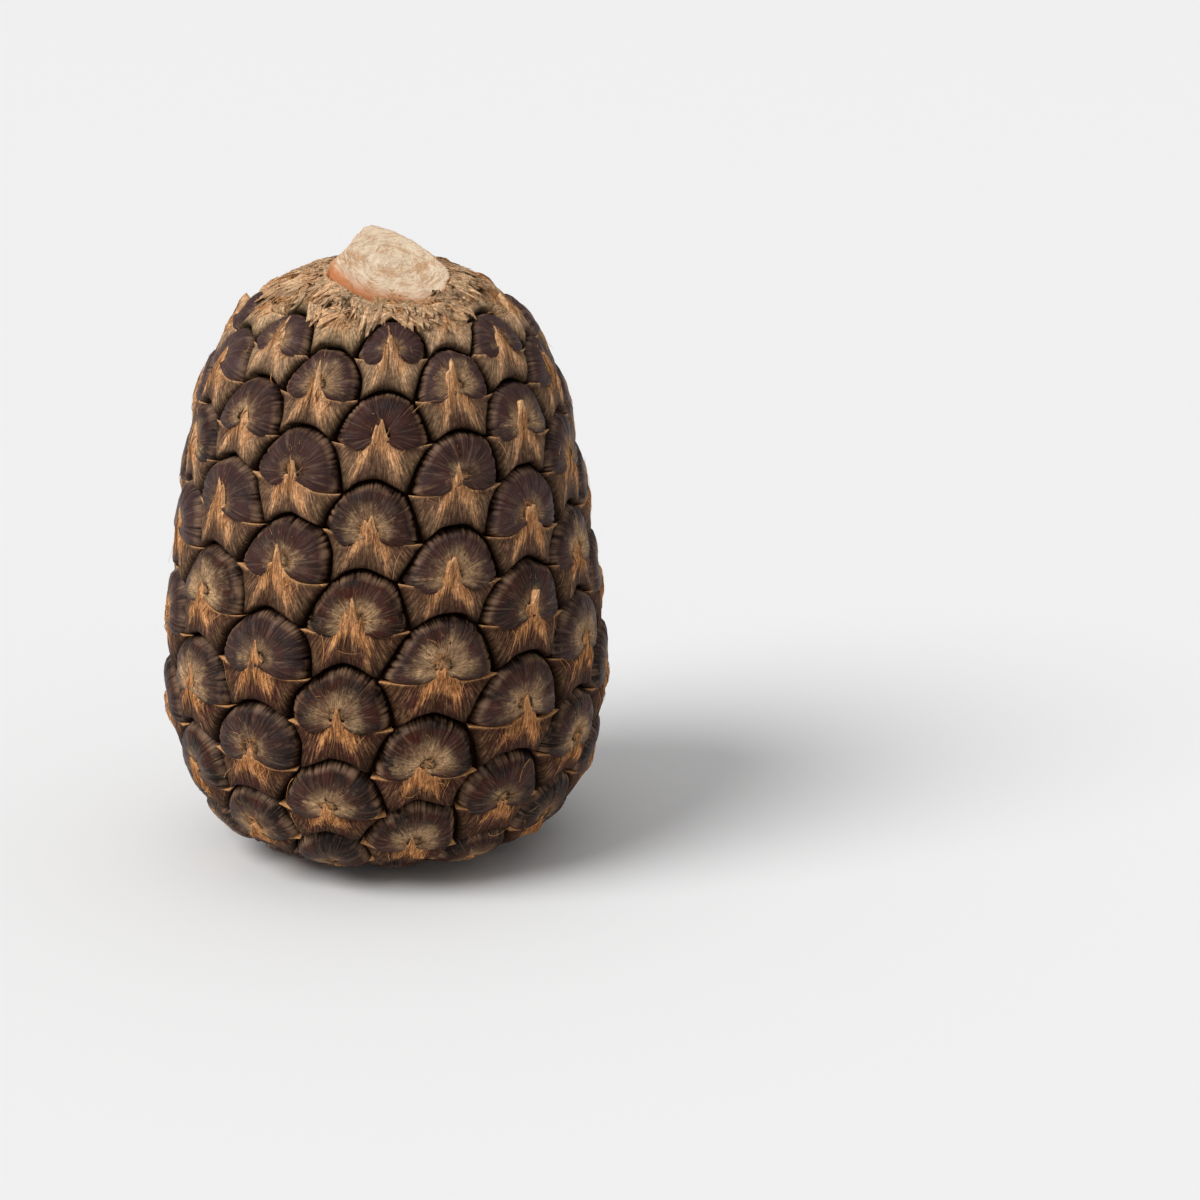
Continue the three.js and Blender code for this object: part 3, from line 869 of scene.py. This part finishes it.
def hair_tubes(name, paths, radius, shade, material):
    """A piece of closed three-sided tubes along many paths, each thinning with the square of the way
    along to a quarter."""
    count = len(paths)
    along = np.gradient(paths, axis=1)
    along /= np.linalg.norm(along, axis=-1, keepdims=True) + 1e-9
    side = np.cross(along, (0.3, 0.2, 0.93))
    side /= np.linalg.norm(side, axis=-1, keepdims=True) + 1e-9
    up = np.cross(along, side)
    angle = np.arange(HAIR_SIDES) * 2 * math.pi / HAIR_SIDES
    thin = (1 - HAIR_WAY**2 * 0.75)[None, :, None, None] * radius[:, None, None, None]
    ring = side[:, :, None] * np.cos(angle)[:, None] + up[:, :, None] * np.sin(angle)[:, None]
    points = (paths[:, :, None] + ring * thin).reshape(-1, 3)
    size = HAIR_STEPS * HAIR_SIDES
    quads = copies(grid_quads(HAIR_STEPS, HAIR_SIDES, True), count, size)
    ends = copies(np.array(((2, 1, 0), (size - 3, size - 2, size - 1))), count, size)
    masks = {"shade": np.repeat(shade, size)}
    new_piece(name, points, quads, ends, points[:, :2], masks, material)


def sample(field, eye, row, column):
    """The values of each eye's grid at places between its rows and columns."""
    i = np.clip(row.astype(int), 0, field.shape[1] - 2)
    j = np.clip(column.astype(int), 0, field.shape[2] - 2)
    u = (row - i)[..., None]
    v = (column - j)[..., None]
    upper = field[eye, i, j] * (1 - v) + field[eye, i, j + 1] * v
    lower = field[eye, i + 1, j] * (1 - v) + field[eye, i + 1, j + 1] * v
    return upper * (1 - u) + lower * u


def strands_piece(sizes, material):
    """Straw strands on the bracts: each starts near the tip or the rim line, follows its bract down
    with a little drift, and bows off it by the sine of the way along."""
    eyes = Eyes(LOWEST_ROW, HIGHEST_ROW, sizes)
    local, a, b, lean = bract_places(eyes, sizes)
    rise = bract_relief(eyes, local, a, b, lean)[0]
    field = np.concatenate((local, rise[..., None]), axis=-1)
    draw = np.random.default_rng(3)
    eye = np.repeat(np.arange(len(eyes.right)), STRANDS_AN_EYE)
    count = len(eye)
    start = 0.3 * draw.uniform(0, 1, count)[:, None] ** 1.6
    down = np.clip(start + draw.uniform(0.15, 0.6, count)[:, None] * HAIR_WAY, 0, 0.93)
    across = draw.normal(0, 0.26, count)[:, None] + draw.normal(0, 0.07, count)[:, None] * HAIR_WAY
    across = np.clip(across, -0.9, 0.9)
    row = down ** (1 / ROW_SPACING) * BRACT_ROWS
    column = (np.sign(across) * np.abs(across) ** (1 / COLUMN_SPACING) + 1) / 2 * BRACT_COLUMNS
    place = sample(field, eye[:, None], row, column)
    lift = 0.04 + draw.uniform(0, 0.35, count)[:, None] * np.sin(math.pi * HAIR_WAY)
    turn = eyes.turn[eye][:, None] + place[..., 0] * COLUMN
    paths = skin(turn, eyes.row[eye][:, None] + place[..., 1], place[..., 2] + lift)
    hair_tubes("strands", paths, draw.uniform(0.05, 0.12, count), draw.uniform(0, 1, count), material)


def tuft_paths(eyes, draw):
    """Hairs that fray from each bract's tip and spread up over the cap, each straight but for a drift in
    its direction. Near the crown there are more, longer ones, which spread down."""
    each = np.where(eyes.row > NEAR_CROWN, CROWN_TUFT_HAIRS, TUFT_HAIRS)
    eye = np.repeat(np.arange(len(eyes.right)), each)
    count = len(eye)
    high = (eyes.row[eye] > NEAR_CROWN)[:, None]
    angle = draw.normal(math.pi / 2, 0.8, count)[:, None] + draw.normal(0, 0.5, count)[:, None] * HAIR_WAY
    angle = np.where(high, -angle, angle)
    length = draw.uniform(0.05, 0.17, count)[:, None] * np.where(high, 1.5, 1) * HAIR_WAY
    x = draw.normal(0, 0.05, count)[:, None] * np.where(high, 4, 1) + length * np.cos(angle)
    y = draw.uniform(0.05, 0.34, count)[:, None] + np.where(high, 0.1, 0) + length * np.sin(angle)
    lift = 0.8 + draw.uniform(0, 0.9, count)[:, None] * HAIR_WAY**2
    return skin(eyes.turn[eye][:, None] + x * COLUMN, eyes.row[eye][:, None] + y, lift)


def loose_paths(draw):
    """A few long curved hairs that cross the eyes anywhere below the crown."""
    turn = draw.uniform(0, 2 * math.pi, LOOSE_HAIRS)[:, None]
    row = draw.uniform(-3, 3.4, LOOSE_HAIRS)[:, None]
    angle = draw.uniform(0, 2 * math.pi, LOOSE_HAIRS)[:, None]
    angle = angle + draw.normal(0, 1, LOOSE_HAIRS)[:, None] * HAIR_WAY
    length = draw.uniform(0.15, 0.42, LOOSE_HAIRS)[:, None] * HAIR_WAY
    lift = 0.7 + 1.4 * HAIR_WAY**2 + 0 * turn
    return skin(turn + length * np.cos(angle) * COLUMN, row + length * np.sin(angle), lift)


def torn_width(angle, narrow, extra):
    """How far the torn tissue reaches from the crown's rim: narrow at the front, wider behind."""
    return narrow + extra * smooth(-0.3, 0.6, np.sin(angle - 0.5))


def fuzz_paths(draw):
    """Short hairs that lie about on the skin round the crown's rim."""
    around = draw.uniform(0, 2 * math.pi, FUZZ_HAIRS)
    start = rim_reach(around) + torn_width(around, 5, 9) * draw.uniform(-0.05, 1, FUZZ_HAIRS)
    way = around[:, None] + draw.normal(0, 1.1, FUZZ_HAIRS)[:, None]
    way = way + draw.normal(0, 0.4, FUZZ_HAIRS)[:, None] * HAIR_WAY
    length = draw.uniform(1.5, 5, FUZZ_HAIRS)[:, None] * HAIR_WAY
    x = (start * np.cos(around))[:, None] + length * np.cos(way)
    y = (start * np.sin(around))[:, None] + length * np.sin(way)
    lift = 0.8 + draw.uniform(-0.5, 0.8, FUZZ_HAIRS)[:, None] * HAIR_WAY**2
    return face_point(x, y, ground(x, y) + lift)


def fibres_piece(sizes, material):
    """Dry hairs: tufts at the bracts' tips, a few long loose ones, and fuzz round the crown. Each path
    runs along the skin and lifts off it with the square of the way along."""
    draw = np.random.default_rng(11)
    tufts = tuft_paths(Eyes(LOWEST_TUFT, HIGHEST_ROW, sizes), draw)
    paths = np.concatenate((tufts, loose_paths(draw), fuzz_paths(draw)))
    radius = draw.uniform(0.07, 0.12, len(paths))
    straw = draw.uniform(0.2, 1, len(paths) - FUZZ_HAIRS)
    shade = np.concatenate((straw, draw.uniform(0.8, 1.7, FUZZ_HAIRS)))
    hair_tubes("fibres", paths, radius, shade, material)


def face_point(x, y, z):
    """A point given in millimetres on the crown's cut face."""
    return np.stack((x, y, z), axis=-1) @ CROWN_AXES.T + CROWN_CENTRE


def rim_reach(angle):
    """How far the crown's rim lies from the middle of its cut face, at angles round it."""
    rim = catmull(CROWN_RIM, np.linspace(0, len(CROWN_RIM), RIM_STEPS, endpoint=False), closed=True)
    place = np.arctan2(rim[:, 1], rim[:, 0])
    return np.interp(angle, place, np.hypot(rim[:, 0], rim[:, 1]), period=2 * math.pi)


def shoulder_height(x, y):
    """The height of the fruit's outline over the crown's cut face, at places given on that face, found
    in small steps along the way out of the face."""
    upper = OUTLINE_ROWS > 0
    order = np.argsort(OUTLINE_VALUES[0][upper])
    z = np.zeros_like(x)
    for _ in range(SHOULDER_TRIES):
        points = face_point(x, y, z)
        radius = np.hypot(points[..., 0], points[..., 1])
        height = np.interp(radius, OUTLINE_VALUES[0][upper][order], OUTLINE_VALUES[1][upper][order])
        z = z + 0.8 * (height - points[..., 2])
    return z


def ground(x, y):
    """Where the skin round the crown lies over the plane of its cut face."""
    return np.minimum(crown_ceiling(x, y), shoulder_height(x, y))


def crown_piece(material):
    """The crown's foot: rings out to the rim of its sloping cut face, slightly ridged where the cut
    crossed its fibres, then a crisp edge and a rough grooved side, stepped by spiral leaf scars, that goes
    down into the fruit."""
    spokes = 180
    rim = catmull(CROWN_RIM, np.arange(spokes) * len(CROWN_RIM) / spokes, closed=True)[None]
    n = np.arange(spokes)[None] * 2 * math.pi / spokes
    inner = np.linspace(0.04, 0.97, 26)[:, None]
    flank = np.linspace(1.2, 12.6, 20)[:, None]
    share = np.concatenate((inner, [[0.993], [1.0]], 1.004 - 0.004 * flank))
    drop = np.concatenate((0 * inner, [[0.06], [0.35]], flank))
    uneven = 1 + 0.008 * np.sin(17 * n + 1) + 0.006 * np.sin(41 * n) + 0.005 * np.sin(67 * n + 2)
    grooves = np.sin(23 * n + 0.3 * drop) + 0.8 * np.sin(37 * n - 0.2 * drop)
    grooves = grooves + 0.6 * np.sin(71 * n + 0.5 * drop)
    ledge = np.mod(drop / 3.6 + n / math.pi + 0.1 * np.sin(4 * n + 1) + 0.04 * np.sin(13 * n), 1)
    rough = smooth(0.2, 2.5, drop) * (0.006 * grooves + 0.045 * ledge)
    spread = share * np.where(share > 0.9, uneven, 1) + rough
    x, y = rim[..., 0] * spread, rim[..., 1] * spread
    arc = np.hypot(x - 4, y + 1)
    ridge = 0.1 * np.sin(2.9 * arc + 0.9 * np.sin(x * 0.4) + 0.7 * np.sin(y * 0.5))
    ridge = ridge + 0.13 * np.sin(0.9 * x + 0.4 * y) * np.sin(0.7 * y - 0.3 * x)
    low = smooth(1, 15, -y - 0.8 * x)
    z = -drop + np.where(drop > 0, 0, ridge * (1 - share**8)) - 1.6 * low * smooth(0.7, 1, share) ** 2
    hubs = face_point(np.zeros(2), np.zeros(2), np.array((z[0].mean(), -drop[-1, 0])))
    points = np.concatenate((face_point(x, y, z).reshape(-1, 3), hubs))
    size = len(points)
    quads = grid_quads(len(share), spokes, True)
    triangles = end_fans(spokes, size)[:, ::-1]
    uv = np.concatenate((np.stack((x, y - 0.8 * drop), axis=-1).reshape(-1, 2), np.zeros((2, 2))))
    edge = np.clip(0.4 * share**10 + 0.95 * low * share**1.5 + 0.15 * smooth(0, 1, drop), 0, 1.2)
    scar = 0.3 + 0.45 * np.exp(-((ledge / 0.12) ** 2)) - 0.07 * grooves
    scar = smooth(0.3, 1.5, drop) * np.clip(scar, 0, 1)
    masks = {key: np.concatenate((mask.ravel(), (0, 1))) for key, mask in (("edge", edge), ("scar", scar))}
    stands_for = ("crown_base",)
    turn_out(new_piece("crown_foot", points, quads, triangles, uv, masks, material, stands_for))


SCRAPS = 140
SCRAP_ROWS = 9
SCRAP_COLUMNS = 9


def scrap_faces(draw):
    """Both faces of every scrap, with the ways across and along it. Each is a sheet laid out from the
    crown's rim: sine waves tear its end and wrinkle it, it narrows outwards, curls with the square of
    the way along, and thins with the square of the way to its sides."""
    angle = np.linspace(0, 2 * math.pi, SCRAPS, endpoint=False) + draw.normal(0, 0.1, SCRAPS)
    start = rim_reach(angle) + draw.uniform(-0.2, 1, SCRAPS)
    start = start + torn_width(angle, 6, 7) * draw.uniform(0, 1, SCRAPS) ** 1.9
    length = draw.uniform(3, 8, SCRAPS)
    width = draw.uniform(1.8, 5.4, SCRAPS)
    yaw = draw.normal(0, 0.7, SCRAPS)
    curl = draw.uniform(-0.5, 0.7, SCRAPS)
    drawn = (angle, start, length, width, yaw, curl)
    angle, start, length, width, yaw, curl = (values[:, None, None] for values in drawn)
    t = np.linspace(0, 1, SCRAP_ROWS)[None, :, None]
    w = np.linspace(-1, 1, SCRAP_COLUMNS)[None, None, :]
    ragged = 1 - (0.3 * np.sin(5 * w + yaw * 20) + 0.15 * np.sin(13 * w + yaw * 33)) * t
    out = start + length * t * ragged * np.cos(yaw)
    across = width * w * (0.75 + 0.35 * np.sin(2.6 * t + yaw * 9)) * (1 - 0.4 * t)
    across = across + length * t * np.sin(yaw)
    x = out * np.cos(angle) - across * np.sin(angle)
    y = out * np.sin(angle) + across * np.cos(angle)
    wrinkle = 0.16 * np.sin(7 * w + 3 * t + yaw * 30) + 0.12 * np.sin(9 * t + 3 * w + yaw * 17)
    z = ground(x, y) + 0.7 + curl * t**2 + 0.2 * w**2 + wrinkle
    thick = 0.2 * (1 - w**2) + 0.05
    return face_point(x, y, z + thick), face_point(x, y, z - thick), w, t


def scraps_piece(material):
    """Torn leaf and bract remains round the crown's foot: thin closed flakes, wide for their length,
    whose two faces are joined by a wall round their border."""
    draw = np.random.default_rng(5)
    upper, lower, w, t = scrap_faces(draw)
    half = SCRAP_ROWS * SCRAP_COLUMNS
    points = np.concatenate((upper.reshape(SCRAPS, -1, 3), lower.reshape(SCRAPS, -1, 3)), axis=1)
    grid = grid_quads(SCRAP_ROWS, SCRAP_COLUMNS, False)
    border = grid_border(SCRAP_ROWS, SCRAP_COLUMNS)
    following = np.roll(border, -1)
    wall = np.stack((border, following, following + half, border + half), axis=-1)
    quads = copies(np.concatenate((grid, grid[:, ::-1] + half, wall[:, ::-1])), SCRAPS, 2 * half)
    u, v = (np.broadcast_to(way, upper.shape[:-1]).reshape(SCRAPS, -1) for way in (w * 0.14, t * 6))
    uv = np.stack((np.tile(u, 2), np.tile(v, 2)), axis=-1)
    uv = uv + draw.uniform(0, SCRAP_SHIFT, SCRAPS)[:, None, None]
    masks = {
        "straw": draw.uniform(-0.6, 0.9, SCRAPS),
        "rim": np.zeros(SCRAPS),
        "side": draw.uniform(0, 0.8, SCRAPS),
        "pale": draw.uniform(0.55, 1.1, SCRAPS),
        "green": 0.3 * smooth(0.7, 1, draw.uniform(0, 1, SCRAPS)),
        "dirt": np.zeros(SCRAPS),
    }
    masks = {key: np.repeat(mask, 2 * half) for key, mask in masks.items()}
    no_fans = np.empty((0, 3), int)
    flat, flat_uv = points.reshape(-1, 3), uv.reshape(-1, 2)
    turn_out(new_piece("crown_scraps", flat, quads, no_fans, flat_uv, masks, material))


def stalk_piece(material):
    """The cut stalk under the fruit: flat rings with a faint hollow, a rounded edge and a side that
    narrows a little up into the fruit."""
    spokes = 72
    angle = np.linspace(0, 2 * math.pi, spokes, endpoint=False)[None, :]
    share = np.concatenate((np.linspace(0.1, 0.95, 12), (0.985, 1.0, 0.985, 0.95, 0.915)))[:, None]
    rise = np.concatenate((np.zeros(12), (0.15, 0.6, 1.5, 2.8, STALK_DEPTH)))[:, None]
    radius = STALK_RADIUS * share * (1 + 0.01 * np.sin(9 * angle) * share)
    x, y = radius * np.cos(angle), radius * np.sin(angle)
    dent = 0.2 * np.exp(-((share / 0.4) ** 2)) + 0.06 * (1 + np.sin(9 * share)) * (share < 0.9)
    z = rise + dent + 0 * angle
    hubs = np.array(((0, 0, 0.3), (0, 0, STALK_DEPTH)))
    points = np.concatenate((np.stack((x, y, z), axis=-1).reshape(-1, 3), hubs))
    size = len(points)
    quads = grid_quads(len(share), spokes, True)
    triangles = end_fans(spokes, size)[:, ::-1]
    edge = np.concatenate(((share**9 + 0 * angle).ravel(), (0, 1)))
    masks = {"edge": edge, "scar": 0 * edge}
    uv, stands_for = points[:, :2], ("stalk_end",)
    turn_out(new_piece("stalk_cut", points, quads, triangles, uv, masks, material, stands_for))


def colour_setting(name, code, meaning):
    """A colour property with its sRGB hex default turned to linear."""
    return bpy.props.FloatVectorProperty(
        name=name, description=meaning, subtype="COLOR", size=4, min=0, max=1, default=linear(code)
    )


def length_setting(name, millimetres, meaning):
    """A length property, given in millimetres and kept in metres."""
    return bpy.props.FloatProperty(
        name=name, description=meaning, subtype="DISTANCE", unit="LENGTH", min=0, default=millimetres * MM
    )


class PineappleSizes(bpy.types.PropertyGroup):
    wander: length_setting("Wander", 1.1, "How far eyes and their corners stray from the spiral pattern")
    crevice_depth: length_setting("Crevice depth", 4.4, "How deep the crevices between the eyes are")
    cap_lift: length_setting("Cap lift", 0.45, "How far a cap's dome stands over the outline")
    rib_depth: length_setting("Rib depth", 0.5, "How deep the grooves between a cap's ribs are")
    tip_length: length_setting("Tip length", 7.5, "How far a bract's tip lies up over its cap")


class PineappleColours(bpy.types.PropertyGroup):
    cap_dark: colour_setting("Cap dark", "#120904", "Main colour of the caps")
    cap_red: colour_setting("Cap red", "#40190d", "Reddish blotches on the caps")
    cap_purple: colour_setting("Cap purple", "#4a3231", "Purple-grey of the upper caps")
    # Painted sheen: the pale grey laid over the rib crests and the rim's shoulder
    cap_crest: colour_setting("Cap crest", "#a58468", "Worn crests of the ribs")
    felt_brown: colour_setting("Felt brown", "#50301a", "Dark felt at a cap's middle")
    felt_pale: colour_setting("Felt pale", "#f8cb98", "Pale felt at a cap's middle")
    # Painted shade: this near black is laid on the rind deep between the eyes, in the caps' grooves and
    # rims, and on the bracts' lower edges and sides
    crevice: colour_setting("Crevice", "#1d0b03", "The dark between the eyes")
    bract_skin: colour_setting("Bract skin", "#41200f", "Thin skin of the bracts")
    bract_red: colour_setting("Bract red", "#431a18", "Purple-brown patches of the skin")
    bract_olive: colour_setting("Bract olive", "#301f0d", "Olive-brown sides")
    bract_grey: colour_setting("Bract grey", "#a47c56", "Grey-tan fibres on the skin")
    moss: colour_setting("Moss", "#4a4318", "Greenish remains near the crown")
    straw_brown: colour_setting("Straw brown", "#5c2c0e", "Dark strands")
    straw_orange: colour_setting("Straw orange", "#8c481a", "Orange straw of tips and ridges")
    straw_pale: colour_setting("Straw pale", "#ecae72", "Pale straw of tips and fibres")
    straw_grey: colour_setting("Straw grey", "#f7cda0", "Bleached straw near the crown")
    pith_cream: colour_setting("Pith cream", "#ffe6c6", "Cut face of the crown")
    pith_tan: colour_setting("Pith tan", "#d29b69", "Strokes of fibre on the cut faces")
    pith_brown: colour_setting("Pith brown", "#a5744a", "Flecks of the cut faces")
    pith_pink: colour_setting("Pith pink", "#cd7c46", "Rim of the crown's cut face")
    stalk_tan: colour_setting("Stalk tan", "#c3a072", "Cut face of the stalk")
    stalk_brown: colour_setting("Stalk brown", "#7a5636", "Rim of the stalk")


def palette(context):
    """The colours by name."""
    group = context.scene.pineapple_colours
    return {name: tuple(getattr(group, name)) for name in PineappleColours.__annotations__}


class PINEAPPLE_OT_rind(bpy.types.Operator):
    """The rind between the eyes"""

    bl_idname = "pineapple.rind"
    bl_label = "Rind"

    def execute(self, context):
        rind_piece(context.scene.pineapple_sizes, rind_material(palette(context)))
        return {"FINISHED"}


class PINEAPPLE_OT_caps(bpy.types.Operator):
    """The ribbed caps of the eyes, the upper and the lower half of the fruit"""

    bl_idname = "pineapple.caps"
    bl_label = "Caps"

    def execute(self, context):
        material = cap_material(palette(context))
        sizes = context.scene.pineapple_sizes
        caps_piece("caps_lower", sizes, material, LOWEST_ROW, MIDDLE_ROW)
        caps_piece("caps_upper", sizes, material, MIDDLE_ROW, HIGHEST_ROW)
        return {"FINISHED"}


class PINEAPPLE_OT_bracts(bpy.types.Operator):
    """The bracts with their dry tips, the upper and the lower half of the fruit"""

    bl_idname = "pineapple.bracts"
    bl_label = "Bracts"

    def execute(self, context):
        material = bract_material(palette(context))
        sizes = context.scene.pineapple_sizes
        bracts_piece("bracts_lower", sizes, material, LOWEST_ROW, MIDDLE_ROW)
        bracts_piece("bracts_upper", sizes, material, MIDDLE_ROW, HIGHEST_ROW)
        return {"FINISHED"}


class PINEAPPLE_OT_fibres(bpy.types.Operator):
    """The strands on the bracts, the fibres that fray from the tips, and loose hairs"""

    bl_idname = "pineapple.fibres"
    bl_label = "Fibres"

    def execute(self, context):
        material = fibre_material(palette(context))
        strands_piece(context.scene.pineapple_sizes, material)
        fibres_piece(context.scene.pineapple_sizes, material)
        return {"FINISHED"}


class PINEAPPLE_OT_crown(bpy.types.Operator):
    """The cut foot of the crown and the torn remains round it"""

    bl_idname = "pineapple.crown"
    bl_label = "Crown foot"

    def execute(self, context):
        crown_piece(cut_stem_material("cut_crown_pith", palette(context), "pith_cream", "pith_pink"))
        scraps_piece(bract_material(palette(context)))
        return {"FINISHED"}


class PINEAPPLE_OT_stalk(bpy.types.Operator):
    """The cut end of the stalk"""

    bl_idname = "pineapple.stalk"
    bl_label = "Stalk end"

    def execute(self, context):
        stalk_piece(cut_stem_material("cut_stalk_pith", palette(context), "stalk_tan", "stalk_brown"))
        return {"FINISHED"}


# The camera: what it looks at, how far away it stands and how steeply it looks down
CAMERA_AIM = np.array((58.4, 0.0, 67.4))
CAMERA_DISTANCE = 927
CAMERA_ELEVATION = math.radians(17)
CAMERA_LENS = 102
# The lights: the way each comes from, its softness in degrees and its strength
LIGHTS = {"key_left": ((-0.64, -0.42, 0.78), 36, 2.25), "top": ((0.05, 0.1, 1), 60, 0.3)}
WORLD_STRENGTH = 0.36
FLOOR_REACH = 4.0


def floor_material():
    """A plain pale paper sweep with no gloss."""
    material, tree, _, _ = new_material("pale_paper_sweep")
    shader = add(tree, "BsdfPrincipled", {"Base Color": linear("#f6f6f6"), "Roughness": 0.9})
    return finish_material(material, tree, shader)


def add_floor():
    """A square floor at height 0 that reaches FLOOR_REACH metres every way."""
    mesh = bpy.data.meshes.new("floor")
    signs = ((-1, -1), (1, -1), (1, 1), (-1, 1))
    mesh.from_pydata([(x * FLOOR_REACH, y * FLOOR_REACH, 0) for x, y in signs], [], [(0, 1, 2, 3)])
    mesh.materials.append(floor_material())
    floor = bpy.data.objects.new("floor", mesh)
    bpy.context.scene.collection.objects.link(floor)


def add_sun(name, direction, softness, strength):
    """A far soft light that comes from a direction, its softness in degrees."""
    light = bpy.data.lights.new(name, "SUN")
    light.angle = math.radians(softness)
    light.energy = strength
    lamp = bpy.data.objects.new(name, light)
    x, y, z = direction
    lamp.rotation_euler = (math.atan2(math.hypot(x, y), z), 0, math.atan2(y, x) + math.pi / 2)
    bpy.context.scene.collection.objects.link(lamp)


def add_world():
    """Even white light from all round."""
    world = bpy.data.worlds.new("studio")
    world.use_nodes = True
    background = world.node_tree.nodes["Background"]
    background.inputs["Color"].default_value = (1, 1, 1, 1)
    background.inputs["Strength"].default_value = WORLD_STRENGTH
    bpy.context.scene.world = world


def add_camera():
    """A camera at its distance from its aim, back and up along the way that it looks down."""
    data = bpy.data.cameras.new("camera")
    data.lens = CAMERA_LENS
    camera = bpy.data.objects.new("camera", data)
    back = np.array((0, -math.cos(CAMERA_ELEVATION), math.sin(CAMERA_ELEVATION)))
    camera.location = (CAMERA_AIM + back * CAMERA_DISTANCE) * MM
    camera.rotation_euler = (math.pi / 2 - CAMERA_ELEVATION, 0, 0)
    bpy.context.scene.collection.objects.link(camera)
    bpy.context.scene.camera = camera


class PINEAPPLE_OT_stage(bpy.types.Operator):
    """A pale floor, soft lights and the camera"""

    bl_idname = "pineapple.stage"
    bl_label = "Stage"

    def execute(self, context):
        context.scene.view_settings.view_transform = "Standard"
        add_camera()
        add_floor()
        add_world()
        for name, light in LIGHTS.items():
            add_sun(name, *light)
        return {"FINISHED"}


class PINEAPPLE_PT_panel(bpy.types.Panel):
    bl_label = "Pineapple"
    bl_idname = "PINEAPPLE_PT_panel"
    bl_space_type = "VIEW_3D"
    bl_region_type = "UI"
    bl_category = "Pineapple"

    def draw(self, context):
        for operator in OPERATORS:
            self.layout.operator(operator.bl_idname)
        for group in (context.scene.pineapple_sizes, context.scene.pineapple_colours):
            for name in type(group).__annotations__:
                self.layout.prop(group, name)


OPERATORS = (
    PINEAPPLE_OT_stage,
    PINEAPPLE_OT_rind,
    PINEAPPLE_OT_caps,
    PINEAPPLE_OT_bracts,
    PINEAPPLE_OT_fibres,
    PINEAPPLE_OT_crown,
    PINEAPPLE_OT_stalk,
)
CLASSES = (PineappleSizes, PineappleColours, *OPERATORS, PINEAPPLE_PT_panel)


def register():
    for item in CLASSES:
        bpy.utils.register_class(item)
    bpy.types.Scene.pineapple_sizes = bpy.props.PointerProperty(type=PineappleSizes)
    bpy.types.Scene.pineapple_colours = bpy.props.PointerProperty(type=PineappleColours)


def unregister():
    del bpy.types.Scene.pineapple_colours
    del bpy.types.Scene.pineapple_sizes
    for item in reversed(CLASSES):
        bpy.utils.unregister_class(item)


def main():
    register()
    bpy.ops.pineapple.stage()
    bpy.ops.pineapple.rind()
    bpy.ops.pineapple.caps()
    bpy.ops.pineapple.bracts()
    bpy.ops.pineapple.fibres()
    bpy.ops.pineapple.crown()
    bpy.ops.pineapple.stalk()


if __name__ == "__main__":
    main()
